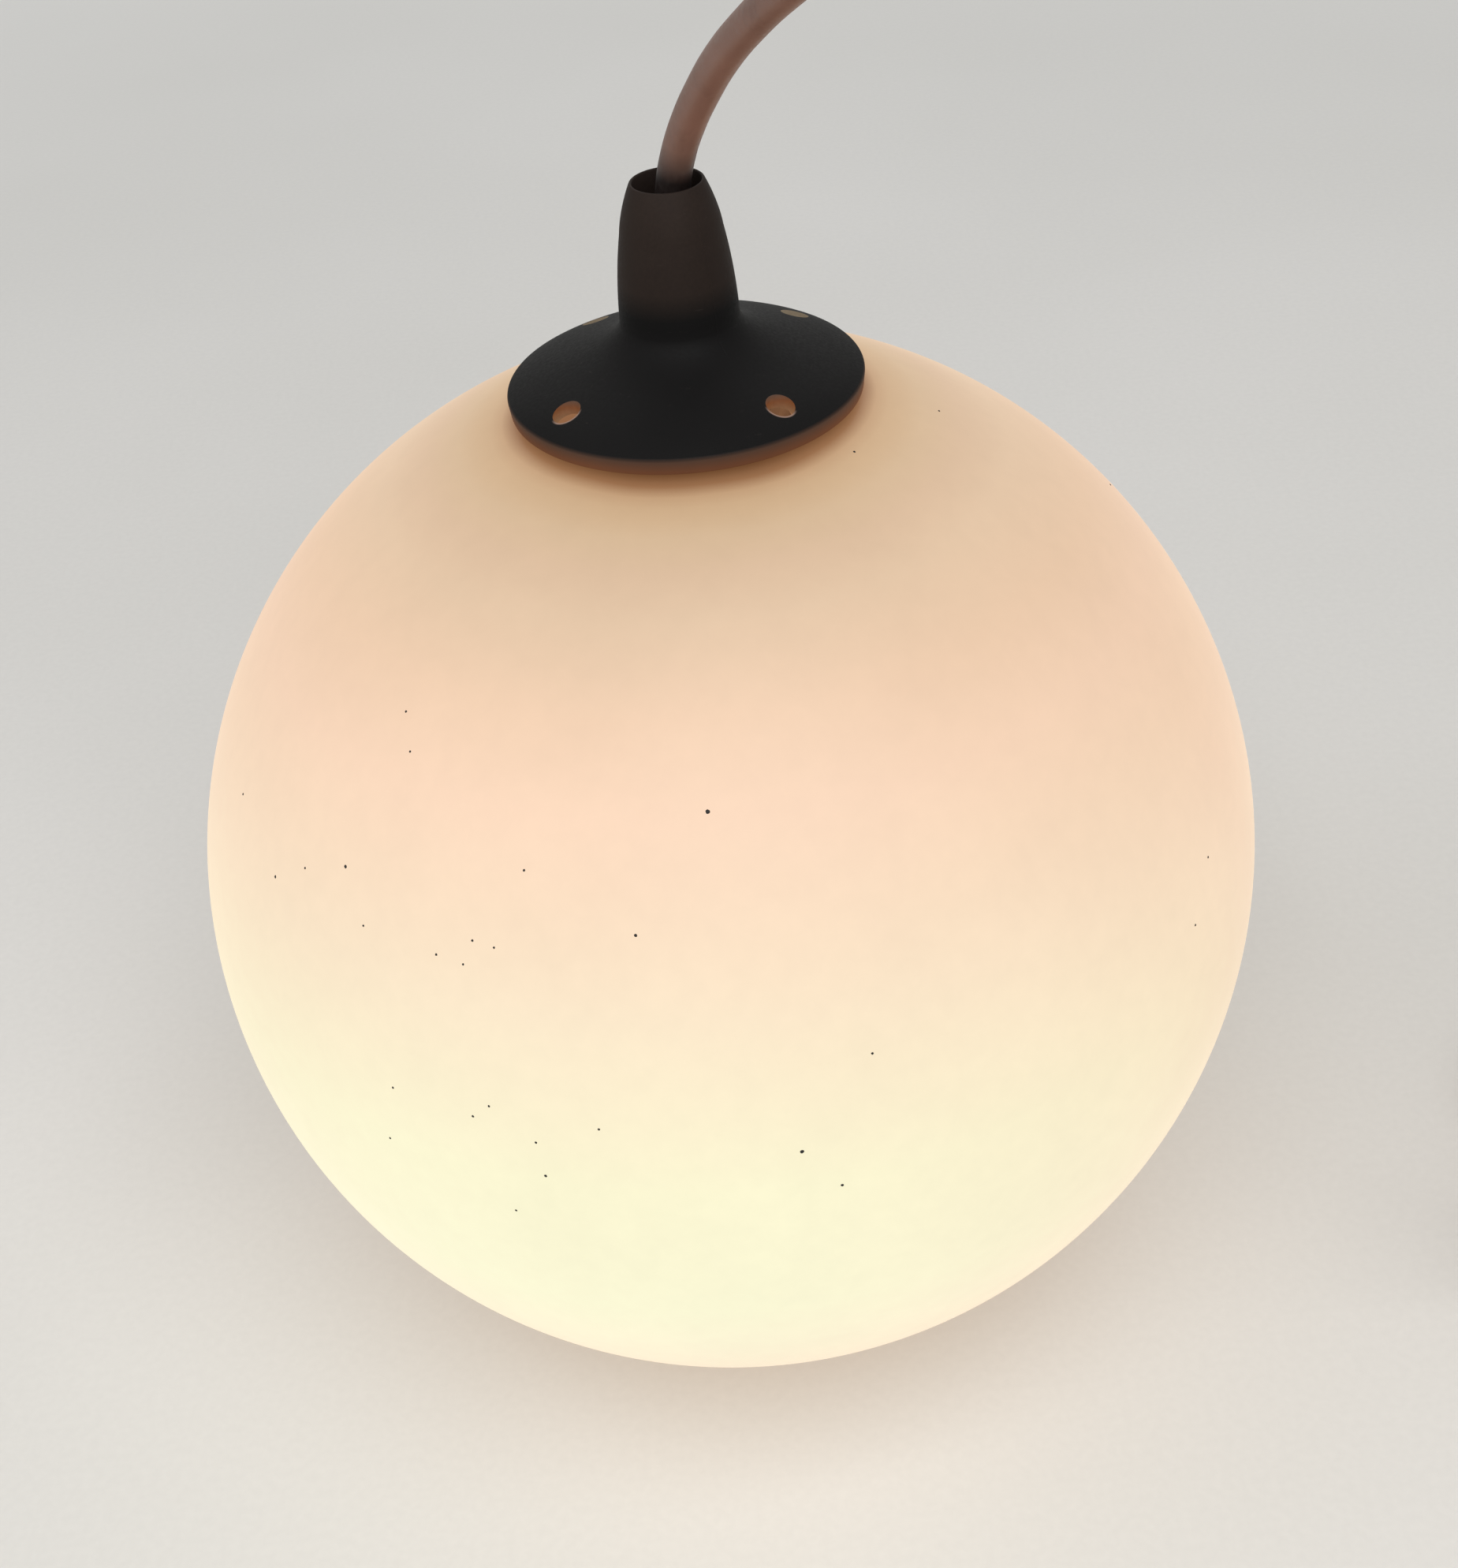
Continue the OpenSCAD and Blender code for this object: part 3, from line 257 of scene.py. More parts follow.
# How much of the glass's colour is its own light, and the side on which it is brightest
GLOW_SHARE = 0.86
GLOW_FRONT = (-0.3, -0.954, 0)


def opal_glass():
    f = Finish("opal_glass", Roughness=0.5, IOR=1.5, Specular_IOR_Level=0.3)
    outwards = f.vector("SUBTRACT", f.coords, tuple(BALL_CENTRE))
    from_centre = f.vector("NORMALIZE", outwards)
    height = f.split(from_centre)[2]
    place = f.math("SUBTRACT", 0.5, f.product(height, 0.5))
    place = f.math("ADD", place, f.vary(f.noise(0.05, detail=2), -0.0015, 0.0015))
    # Painted light and shade: the glass is painted brightest and yellowest on the side towards the front and
    # a little to the left, and dimmer round its sides and back
    front = f.span(f.vector("DOT_PRODUCT", from_centre, GLOW_FRONT), 0.1, 0.95)
    front_glow, back_glow = (f.ramp(place, [(crown_place(a), srgb(*c)) for a, c in stops])
                             for stops in (FRONT_GLOW, BACK_GLOW))
    glow = f.mix(front, back_glow, front_glow)
    mottle = f.vary(f.noise(0.004, detail=4, roughness=0.6), 0.982, 1.006)
    veil = f.span(f.noise(0.035, detail=3, roughness=0.55, shift=2.3), 0.35, 0.65, 0.97, 1.0)
    glow = f.scaled(glow, f.product(mottle, veil))
    # Past the vents the inside shows only as a brown glow
    inside = f.span(f.vector("LENGTH", outwards), BALL_R - 0.8 * MM, BALL_R - 1.6 * MM)
    glow = f.mix(inside, glow, srgb(150, 106, 74))
    f.to("Base Color", f.scaled(glow, 1 - GLOW_SHARE))
    f.shine(glow, GLOW_SHARE)
    f.bump(f.noise(0.012, detail=2), depth=0.00008, strength=0.4)
    return f.material


def vent_distance(f):
    """How far a place lies from the axis of the nearest of the four vents."""
    turn = f.add("ShaderNodeVectorRotate", rotation_type="Z_AXIS")
    f.link(f.coords, turn.inputs["Vector"])
    turn.inputs["Angle"].default_value = -math.radians(VENT_TURN)
    across, along = (f.math("ABSOLUTE", value) for value in list(f.split(turn.outputs[0]))[:2])
    away = f.math("SUBTRACT", f.math("MAXIMUM", across, along), VENT_PITCH_R)
    return f.distance(away, f.math("MINIMUM", across, along))


def cap_plastic():
    """Charcoal plastic with a fine grain. The flange's edge takes the ball's light."""
    f = Finish("cap_plastic", IOR=1.47, Specular_IOR_Level=0.1)
    x, y, z = f.split(f.coords)
    grain = f.noise(0.0006, detail=4, roughness=0.65)
    cloud = f.noise(0.02, detail=3)
    # Painted light and shade: the neck is lighter and browner above its foot, where the ball's light reaches
    # past the flange, and as dark as the flange lower down
    neck = f.span(z, FLANGE_Z + 17 * MM, FLANGE_Z + 21.5 * MM)
    body = f.mix(neck, srgb(15, 14, 14), srgb(40, 32, 28))
    body = f.scaled(body, f.vary(cloud, 0.86, 1.14))
    body = f.scaled(body, f.vary(grain, 0.9, 1.12))
    scratch = f.span(f.noise(0.004, stretch=(1, 1, 6), detail=6, roughness=0.75, shift=4.0), 0.64, 0.72)
    body = f.mix(f.product(scratch, 0.3), body, srgb(64, 58, 54))
    f.to("Base Color", body)
    f.to("Roughness", f.vary(grain, 0.56, 0.7))
    # The ball lights the flange's edge, more so low down
    edge = f.span(f.distance(x, y), FLANGE_R - 0.75 * MM, FLANGE_R - 0.4 * MM)
    foot = f.span(z, FLANGE_Z - 0.05 * MM, FLANGE_Z + 0.12 * MM)
    head = f.span(z, FLANGE_Z + FLANGE_H - 0.1 * MM, FLANGE_Z + FLANGE_H - 0.75 * MM)
    share = f.product(foot, head, f.vary(cloud, 0.92, 1.08), edge)
    high = f.span(z, FLANGE_Z + 0.5 * MM, FLANGE_Z + FLANGE_H - 0.7 * MM)
    edge_light = f.scaled(f.mix(high, srgb(98, 59, 37), srgb(74, 52, 40)), share)
    # Light that catches the front lips of the vents
    lip = f.span(vent_distance(f), VENT_R + 0.34 * MM, VENT_R + 0.12 * MM)
    left_vent, right_vent = (VENT_PITCH_R * math.sin(math.radians(VENT_TURN + turn)) for turn in (180, 270))
    vent_y = f.span(x, -MM, MM, left_vent, right_vent)
    lip = f.product(lip, f.span(f.math("SUBTRACT", y, vent_y), -0.6 * MM, -1.8 * MM))
    f.shine(f.vector("ADD", edge_light, f.scaled(srgb(150, 122, 108), lip)))
    waves = f.bump(f.noise(0.006, detail=2), depth=0.00008, strength=0.35)
    f.bump(grain, depth=0.00003, strength=0.5, under=waves)
    return f.material


def vent_wall():
    """The vents' walls, lit by the bulb, and the cap's dark inside."""
    f = Finish("vent_wall", Roughness=0.6)
    _, y, z = f.split(f.coords)
    near_vent = f.span(vent_distance(f), VENT_R + 2.2 * MM, VENT_R + 0.8 * MM)
    grain = f.noise(0.0006, detail=4, roughness=0.65)
    deep = f.span(z, FLANGE_Z + 6.4 * MM, FLANGE_Z + 3.2 * MM)
    glow = f.ramp(deep, [(0, srgb(80, 56, 42)), (0.4, srgb(108, 60, 26)), (1, srgb(124, 90, 62))])
    # The two back vents are paler
    glow = f.mix(f.span(y, -5 * MM, 5 * MM), glow, srgb(112, 100, 82))
    f.to("Base Color", f.mix(f.vary(grain), srgb(24, 21, 20), srgb(32, 28, 26)))
    f.shine(f.scaled(glow, f.product(near_vent, f.vary(grain, 0.92, 1.06))))
    f.bump(grain, depth=0.00003, strength=0.4)
    return f.material


def speck_ink():
    f = Finish("speck_ink", Roughness=0.7)
    f.to("Base Color", f.ramp(f.noise(0.0004), [(0.3, srgb(8, 7, 5)), (0.7, srgb(20, 16, 12))]))
    return f.material


def moulded(name, colour, variation, roughness, relief=0.00002, lit=False):
    """Moulded plastic, rubber or ceramic: a fine grain, a slow change of shade and a little relief."""
    f = Finish(name)
    cloud = f.noise(0.015, detail=3)
    grain = f.noise(0.0008, detail=4, roughness=0.6, shift=3.1)
    shade = f.product(f.vary(cloud, 1 - variation, 1 + variation / 2),
                      f.vary(grain, 1 - variation / 2, 1 + variation / 2))
    f.to("Base Color", f.scaled(srgb(*colour), shade))
    f.to("Roughness", f.vary(grain, roughness - 0.06, roughness + 0.08))
    if lit:
        lamp_light(f, cloud)
    f.bump(grain, depth=relief, strength=0.5)
    return f.material


def lamp_light(f, pattern):
    """The bulb's light on the upper faces that show through the vents."""
    height = f.split(f.coords)[2]
    up = f.split(f.add("ShaderNodeNewGeometry").outputs["Normal"])[2]
    share = f.product(f.span(height, -46 * MM, -42 * MM), f.span(height, -28 * MM, -31 * MM),
                      f.span(up, 0.1, 0.5), f.vary(pattern, 0.8, 1.1))
    f.shine(f.scaled(srgb(112, 78, 54), share))


def metal(name, colour, roughness, tarnish, stretch=(1, 1, 12), lit=False):
    """Plated or plain metal with fine drawn lines and some tarnish."""
    f = Finish(name, Metallic=1.0)
    lines = f.noise(0.0012, stretch=stretch, detail=5, roughness=0.7)
    patches = f.span(f.noise(0.006, detail=4, roughness=0.6, shift=1.7), 0.5, 0.75, 0, 0.25)
    bright = f.scaled(srgb(*colour), f.vary(lines, 0.86, 1.06))
    f.to("Base Color", f.mix(patches, bright, srgb(*tarnish)))
    f.to("Roughness", f.vary(lines, roughness - 0.07, roughness + 0.12))
    if lit:
        lamp_light(f, lines)
    f.bump(lines, depth=0.00002, strength=0.4)
    return f.material


NECK_MOUTH = (0.2 * MM, 0.4 * MM, -4 * MM)


def flex():
    """The cord's smooth jacket: drawn lines along it, scuffs, painted shade where it goes into the neck, and
    the ball's light painted on its lower side.
    """
    f = Finish("flex", IOR=1.5)
    cloud = f.noise(0.02, detail=3)
    grain = f.noise(0.0009, detail=4, roughness=0.6)
    scuff = f.span(f.noise(0.005, stretch=(1, 1, 0.35), detail=6, roughness=0.7, shift=5.0), 0.58, 0.72)
    body = f.mix(f.vary(cloud), srgb(112, 83, 71), srgb(124, 92, 79))
    body = f.mix(f.product(scuff, 0.35), body, srgb(88, 63, 54))
    # Painted shade: the cord is dark where it goes into the neck, in the cap's shadow
    from_neck = f.vector("DISTANCE", f.coords, NECK_MOUTH)
    body = f.mix(f.span(from_neck, 5.5 * MM, 12 * MM), srgb(30, 22, 20), body)
    f.to("Base Color", f.scaled(body, f.vary(grain, 0.95, 1.04)))
    f.to("Roughness", f.vary(grain, 0.4, 0.55))
    # The ball lights the side that faces it
    up = f.split(f.add("ShaderNodeNewGeometry").outputs["Normal"])[2]
    near = f.span(f.vector("DISTANCE", f.coords, tuple(BALL_CENTRE)), 230 * MM, 150 * MM)
    share = f.product(near, f.span(from_neck, 8 * MM, 18 * MM), f.span(up, 0.35, -0.6))
    f.shine(f.scaled(srgb(66, 42, 33), share))
    waves = f.bump(cloud, depth=0.0001, strength=0.25)
    f.bump(grain, depth=0.00003, strength=0.4, under=waves)
    return f.material


def bulb_glass():
    f = Finish("bulb_glass", Roughness=0.06, IOR=1.5, Transmission_Weight=0.9)
    f.to("Base Color", f.ramp(f.noise(0.01), [(0.3, srgb(250, 244, 232)), (0.7, srgb(255, 251, 242))]))
    f.bump(f.noise(0.006, detail=2), depth=0.00004, strength=0.2)
    return f.material


def hot_wire():
    f = Finish("hot_wire", Roughness=0.5)
    heat = f.ramp(f.noise(0.002), [(0.3, srgb(255, 190, 110)), (0.7, srgb(255, 226, 170))])
    f.to("Base Color", f.scaled(heat, 0.4))
    f.shine(heat, 0.9)
    return f.material


BACKGROUND = (0.62, 0.62, 0.6)
# Where the floor begins and ends to run into the background, in metres
FADE_START, FADE_END = 0.45, 1.7


def seen_rays(tree):
    """1 for rays from the camera, off gloss or through glass, and 0 for light on the object."""
    path = tree.nodes.new("ShaderNodeLightPath")
    total = path.outputs["Is Camera Ray"]
    for name in ("Is Glossy Ray", "Is Transmission Ray"):
        node = tree.nodes.new("ShaderNodeMath")
        node.operation = "MAXIMUM"
        tree.links.new(total, node.inputs[0])
        tree.links.new(path.outputs[name], node.inputs[1])
        total = node.outputs[0]
    return total


def floor_paper():
    f = Finish("floor_paper", Roughness=0.85, Specular_IOR_Level=0.2)
    cloud = f.noise(0.4, detail=3)
    fibre = f.noise(0.002, detail=3)
    colour = f.mix(f.vary(cloud), srgb(212, 210, 205), srgb(220, 218, 214))
    # Far off, where the lamps don't reach, the floor runs into the pale background
    far = f.span(f.vector("LENGTH", f.coords), FADE_START, FADE_END)
    near = f.product(f.math("SUBTRACT", 1, far), f.vary(fibre, 0.985, 1.015))
    f.to("Base Color", f.scaled(colour, near))
    f.shine(f.scaled(BACKGROUND, f.product(far, seen_rays(f.tree))))
    return f.material


FINISHES = {
    "opal_glass": opal_glass(),
    "charcoal_plastic": cap_plastic(),
    "tan_rubber": moulded("seal_rubber", (66, 44, 30), 0.15, 0.75),
    "zinc_steel": metal("zinc_steel", (196, 196, 192), 0.34, (120, 118, 108), lit=True),
    "grip_nylon": moulded("grip_nylon", (214, 211, 200), 0.05, 0.5),
    "bakelite": moulded("bakelite", (38, 30, 27), 0.25, 0.28, relief=0.00001, lit=True),
    "porcelain": moulded("porcelain", (228, 224, 212), 0.05, 0.22, relief=0.00001),
    "brass": metal("brass", (205, 168, 96), 0.28, (122, 88, 46)),
    "red_silicone": moulded("red_silicone", (150, 56, 42), 0.12, 0.6),
    "cord_tan": flex(),
    "brown_core": moulded("brown_core", (94, 58, 38), 0.1, 0.45),
    "blue_core": moulded("blue_core", (52, 96, 158), 0.1, 0.45),
    "bulb_aluminium": metal("bulb_aluminium", (205, 205, 202), 0.3, (138, 134, 124), (1, 1, 3)),
    "solder": metal("solder", (168, 168, 164), 0.45, (110, 108, 100), (1, 1, 1)),
    "clear_glass": bulb_glass(),
    "tungsten": hot_wire(),
    "cup_plastic": moulded("cup_plastic", (214, 200, 178), 0.06, 0.36),
    "white_plastic": moulded("white_plastic", (222, 219, 208), 0.05, 0.5),
}


def dress_nodes():
    """Every CAD node takes the finish of its slot."""
    for entry in frame["record"]["subparts"]:
        node = NODES[entry["node"]]
        node.data.materials.clear()
        node.data.materials.append(FINISHES[entry["material_slot"]])


# Shapes

def piece_from(bm, name, slot, finish=None):
    """A smooth piece of the lamp, in its slot's finish or in one of its own."""
    bmesh.ops.recalc_face_normals(bm, faces=bm.faces)
    mesh = bpy.data.meshes.new(name)
    bm.to_mesh(mesh)
    bm.free()
    for face in mesh.polygons:
        face.use_smooth = True
    piece = bpy.data.objects.new(name, mesh)
    COLLECTION.objects.link(piece)
    mesh.materials.append(finish or FINISHES[slot])
    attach(piece, "lamp")
    return piece


def arc(centre, radius, start, end, steps):
    """Points of an arc in the plane of radius and height, with its angles in degrees up from level."""
    angles = [math.radians(start + (end - start) * i / steps) for i in range(steps + 1)]
    return [(centre[0] + radius * math.cos(a), centre[1] + radius * math.sin(a)) for a in angles]


# A point of an outline that is closer to the axis than this lies on it
AXIS_GAP = 1e-7


def lathe(outline, sides, closed=True):
    """A bmesh turned round the Z axis from points of radius and height."""
    bm = bmesh.new()
    rings = []
    for radius, height in outline:
        if radius < AXIS_GAP:
            rings.append([bm.verts.new((0, 0, height))])
        else:
            turn = [2 * math.pi * k / sides for k in range(sides)]
            rings.append([bm.verts.new((radius * math.cos(a), radius * math.sin(a), height)) for a in turn])
    pairs = list(zip(rings, rings[1:] + rings[:1])) if closed else list(zip(rings, rings[1:]))
    for low, high in pairs:
        if len(low) == 1 and len(high) == 1:
            continue
        for k in range(sides):
            corners = [low[k % len(low)], low[(k + 1) % len(low)],
                       high[(k + 1) % len(high)], high[k % len(high)]]
            bm.faces.new(list(dict.fromkeys(corners)))
    return bm


def opal_ball():
    """The blown ball with a rounded lip at its mouth."""
    lip_r = BALL_WALL / 2
    middle_r = BALL_R - lip_r
    lip_reach = MOUTH_R + lip_r
    lip_angle = math.degrees(math.acos(lip_reach / middle_r))
    lip_centre = (lip_reach, BALL_CENTRE.z + middle_r * math.sin(math.radians(lip_angle)))
    centre = (0, BALL_CENTRE.z)
    outline = arc(centre, BALL_R, -90, lip_angle, steps=150)
    outline += arc(lip_centre, lip_r, lip_angle, lip_angle + 180, steps=10)[1:-1]
    outline += arc(centre, BALL_R - BALL_WALL, lip_angle, -90, steps=110)
    outline[0] = (0, outline[0][1])
    outline[-1] = (0, outline[-1][1])
    ball = piece_from(lathe(outline, sides=256, closed=False), "opal_ball", "opal_glass")
    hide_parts("globe")


def bezier(a, b, c, d, steps):
    """Points of radius and height on a curve of four corners."""
    points = []
    for i in range(steps + 1):
        t = i / steps
        shares = ((1 - t) ** 3, 3 * (1 - t) ** 2 * t, 3 * (1 - t) * t * t, t ** 3)
        points.append(tuple(sum(s * p[k] for s, p in zip(shares, (a, b, c, d))) for k in (0, 1)))
    return points


def inset(points, w):
    """A line moved to its left by w."""
    moved = []
    for i, (r, z) in enumerate(points):
        (r0, z0), (r1, z1) = points[max(i - 1, 0)], points[min(i + 1, len(points) - 1)]
        length = math.hypot(r1 - r0, z1 - z0)
        moved.append((r - w * (z1 - z0) / length, z + w * (r1 - r0) / length))
    return moved


def placed(outline, foot):
    """An outline in millimetres above a foot, in metres."""
    return [(r * MM, foot + z * MM) for r, z in outline]


def taken(bm, other, matrix, material_index=0):
    """A bmesh moved and added to another."""
    bmesh.ops.transform(other, matrix=matrix, verts=other.verts)
    for face in other.faces:
        face.material_index = material_index
    spare = bpy.data.meshes.new("spare")
    other.to_mesh(spare)
    other.free()
    bm.from_mesh(spare)
    bpy.data.meshes.remove(spare)


def at(turn, radius, height=0.0):
    """A place round the lamp's axis at an angle in degrees, turned to face away from the axis."""
    return Matrix.Rotation(math.radians(turn), 4, "Z") @ Matrix.Translation((radius, 0, height))


# The cap in millimetres: its wall, cord hole, hollow and the sealing ring's seat, then the points
# of its outline, as radius and height above the flange's lower edge
CAP_WALL = 2.2
CORD_HOLE_R = 5.7
HOLLOW_R, HOLLOW_TOP = 26.4, 34.6
SEAT_R, SEAT_TOP = 28.4, 1.8
CAP_EDGE = [(30.02, 0), (30.17, 0.04), (30.27, 0.14), (30.32, 0.3), (30.4, 1), (30.5, 1.75)]
CAP_EDGE += bezier((30.58, 2.4), (30.6, 2.82), (30.36, 2.96), (30.1, 3.1), 8)
CROWN = bezier((30.1, 3.1), (23.256, 7.3), (11.15, 8.7), (10.15, 13.9), 44)
NECK = bezier((10.15, 13.9), (9.95, 21.4), (9.15, 26.2), (8.6, 29.2), 14)
NECK_TOP = bezier((8.6, 29.2), (8.3, 32), (7.2, 35.2), (6.25, 37.3), 18)
CAP_LIP = bezier((6.25, 37.3), (6.14, 37.56), (5.8, 37.66), (5.7, 37.25), 8)


def cap_section():
    """The whole outline of the cap's wall: the outside upwards, then the inside downwards."""
    line = CROWN + NECK[1:] + NECK_TOP[1:]
    inner = [(r, z) for r, z in inset(line, CAP_WALL)[::2]
             if z < HOLLOW_TOP - 0.4 and CORD_HOLE_R < r < HOLLOW_R - 0.2]
    seat = [(HOLLOW_R, inner[0][1] - 0.1), (HOLLOW_R, SEAT_TOP), (SEAT_R, SEAT_TOP), (SEAT_R, 0)]
    return CAP_EDGE + line[1:] + CAP_LIP[1:] + [(CORD_HOLE_R, HOLLOW_TOP)] + inner[::-1] + seat


def vent_cutter(finishes):
    """Four drills where the vents are. Their walls take the second finish."""
    reach = 7 * MM
    drills = bmesh.new()
    for k in range(4):
        drill = lathe([(0, -reach), (VENT_R, -reach), (VENT_R, reach), (0, reach)],
                      sides=48, closed=False)
        taken(drills, drill, at(VENT_TURN + 90 * k, VENT_PITCH_R, FLANGE_Z + 5 * MM), 1)
    bmesh.ops.recalc_face_normals(drills, faces=drills.faces)
    mesh = bpy.data.meshes.new("vent_drills")
    drills.to_mesh(mesh)
    drills.free()
    for finish in finishes:
        mesh.materials.append(finish)
    cutter = bpy.data.objects.new("vent_drills", mesh)
    COLLECTION.objects.link(cutter)
    return cutter


def drill_through(piece, cutter):
    """Cuts a piece's mesh and takes the cutter away."""
    cut = piece.modifiers.new("vents", "BOOLEAN")
    cut.operation = "DIFFERENCE"
    cut.solver = "EXACT"
    cut.object = cutter
    bpy.context.view_layer.update()
    mesh = bpy.data.meshes.new_from_object(piece.evaluated_get(bpy.context.evaluated_depsgraph_get()))
    piece.modifiers.clear()
    piece.data = mesh
    bpy.data.objects.remove(cutter)


def screw_boss():
    """A sleeve inside the cap that takes one of the plate's screws."""
    bore, outside = 1.5 * MM, 2.7 * MM
    foot, top = PLATE_TOP_Z + 0.2 * MM, FLANGE_Z + 7.2 * MM
    boss = lathe([(bore, foot), (outside, foot), (outside, top), (bore, top)], sides=32)
    bmesh.ops.recalc_face_normals(boss, faces=boss.faces)
    return boss


def vented_cap():
    """The cap: flange, crown, neck, vents, screw bosses and the mould's parting lines."""
    finishes = [FINISHES["charcoal_plastic"], vent_wall()]
    cap = piece_from(lathe(placed(cap_section(), FLANGE_Z), sides=192), "vented_cap", "charcoal_plastic")
    cap.data.materials.append(finishes[1])
    drill_through(cap, vent_cutter(finishes))
    bm = bmesh.new()
    bm.from_mesh(cap.data)
    # The hollow's faces that look down take the dark finish of the inside
    for face in bm.faces:
        middle = face.calc_center_median()
        inner = math.hypot(middle.x, middle.y) < (SEAT_R - 0.01) * MM and face.normal.z < -0.2
        if inner and middle.z < FLANGE_Z + 30 * MM:
            face.material_index = 1
    for k in range(3):
        taken(bm, screw_boss(), at(SCREW_TURN + 120 * k, SCREW_PITCH_R), 1)
    for turn in (PARTING_TURN, PARTING_TURN + 180):
        taken(bm, parting_line(), at(turn, 0))
    bm.to_mesh(cap.data)
    bm.free()
    cap.data.set_sharp_from_angle(angle=math.radians(32))
    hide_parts("cap")


def parting_line():
    """A faint rib down the neck and the crown, where the mould's halves met."""
    line = placed(NECK_TOP[8::-2] + NECK[-2::-1] + CROWN[-2:-14:-2], FLANGE_Z)
    # The rib's own outline in millimetres: across, and out from the cap
    shape = [(-0.22, -0.08), (-0.1, 0.045), (0, 0.07), (0.1, 0.045), (0.22, -0.08)]
    bm = bmesh.new()
    rows = []
    for i, (r, z) in enumerate(line):
        (r0, z0), (r1, z1) = line[max(i - 1, 0)], line[min(i + 1, len(line) - 1)]
        away = Vector((z0 - z1, 0, r1 - r0)).normalized()
        fade = 0.25 if i in (0, len(line) - 1) else 1
        rows.append([bm.verts.new(Vector((r, across * MM, z)) + away * out * MM * fade)
                     for across, out in shape])
    for low, high in zip(rows, rows[1:]):
        for k in range(len(shape) - 1):
            bm.faces.new((low[k], low[k + 1], high[k + 1], high[k]))
    bmesh.ops.recalc_face_normals(bm, faces=bm.faces)
    if sum(face.normal.x for face in bm.faces) < 0:
        bmesh.ops.reverse_faces(bm, faces=bm.faces)
    return bm


# Dark specks on the glass: angle round the axis, angle up from level, width in millimetres
SPECKS = [
    (-92.3, 39.7, 0.8), (-100.5, 29, 0.6), (-86.3, 7, 0.75), (-135.6, 29, 0.7), (-146.7, 23.4, 0.65),
    (-141.8, 26.5, 0.5), (-112.9, 33.9, 0.5), (-121.9, 24.5, 0.5), (-117.9, 26.7, 0.5), (-118.7, 24.3, 0.45),
    (-115.4, 26.5, 0.45), (-82.9, 2.3, 0.6), (-110.5, 3.9, 0.6), (-111.1, 7.7, 0.5), (-104.8, 10.1, 0.5),
    (-115.7, 10.7, 0.5), (-117.5, 9.1, 0.5), (-114.2, -1.5, 0.5), (-126.7, 9.2, 0.5), (-127.9, 2.6, 0.5),
    (-78.8, 15.8, 0.5), (-40.2, 69.8, 0.5), (-5, 64.6, 0.5), (-134.4, 44.7, 0.5), (-131.3, 41.5, 0.45),
    (-158.5, 26.7, 0.5), (-38.4, 10.7, 0.5), (-33.2, 15.3, 0.5), (-131.5, 24.5, 0.45)]
BACK_SPECKS = 16
SPECK_SEED = 7


def speck_grain(width, chance):
    """A flat, uneven grain of dirt, with its width in millimetres."""
    sides = 10
    grain = bmesh.new()
    rings = []
    for reach, lift in ((1, -0.05), (0.8, 0.05), (0.4, 0.1)):
        radius = reach * width / 2 * MM
        rings.append([grain.verts.new((radius * chance.uniform(0.8, 1.15) * math.cos(a),
                                       radius * chance.uniform(0.8, 1.15) * math.sin(a),
                                       lift * MM)) for a in (2 * math.pi * k / sides for k in range(sides))])
    for low, high in zip(rings, rings[1:]):
        for k in range(sides):
            grain.faces.new((low[k], low[(k + 1) % sides], high[(k + 1) % sides], high[k]))
    grain.faces.new(rings[-1])
    return grain


def glass_specks():
    """Specks on the ball, the seen ones at their places and some behind."""
    chance = random.Random(SPECK_SEED)
    places = SPECKS + [(chance.uniform(0, 180), chance.uniform(-50, 55), chance.uniform(0.4, 0.6))
                       for _ in range(BACK_SPECKS)]
    bm = bmesh.new()
    for turn, tilt, width in places:
        grain = speck_grain(width, chance)
        spot = (Matrix.Translation(BALL_CENTRE) @ Matrix.Rotation(math.radians(turn), 4, "Z")
                @ Matrix.Rotation(math.radians(90 - tilt), 4, "Y") @ Matrix.Translation((0, 0, BALL_R)))
        taken(bm, grain, spot)
    piece_from(bm, "glass_specks", "bakelite", speck_ink())


def ceiling_rose():
    """The ceiling cup, turned from the same curves as the model's with more steps."""
    low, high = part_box("ceiling_cup")
    dome = bezier((38, 2.5), (37, 16.12), (25.84, 22.36), (12.4, 24.4), 28)
    flare = bezier((12.4, 24.4), (8.4, 25.2), (6.8, 26), (6.4, 29), 10)
    mouth = bezier((6.4, 33.5), (6.4, 33.9), (6.2, 34), (5.9, 34), 4) + [(3.5, 34), (3.2, 33.8), (3.2, 22.4)]
    foot = [(36, 0), (37.7, 0), (37.92, 0.1), (38, 0.4)]
    inner = [p for p in inset(dome, 2)[::2] if p[0] > 3.3]
    bm = lathe(placed(foot + dome + flare[1:] + mouth + inner[::-1], low.z), sides=128)
    cup = piece_from(bm, "ceiling_rose", "cup_plastic")
    cup.data.transform(Matrix.Translation(((low.x + high.x) / 2, (low.y + high.y) / 2, 0)))
    cup.data.set_sharp_from_angle(angle=math.radians(40))
    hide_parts("ceiling_cup")
    return cup


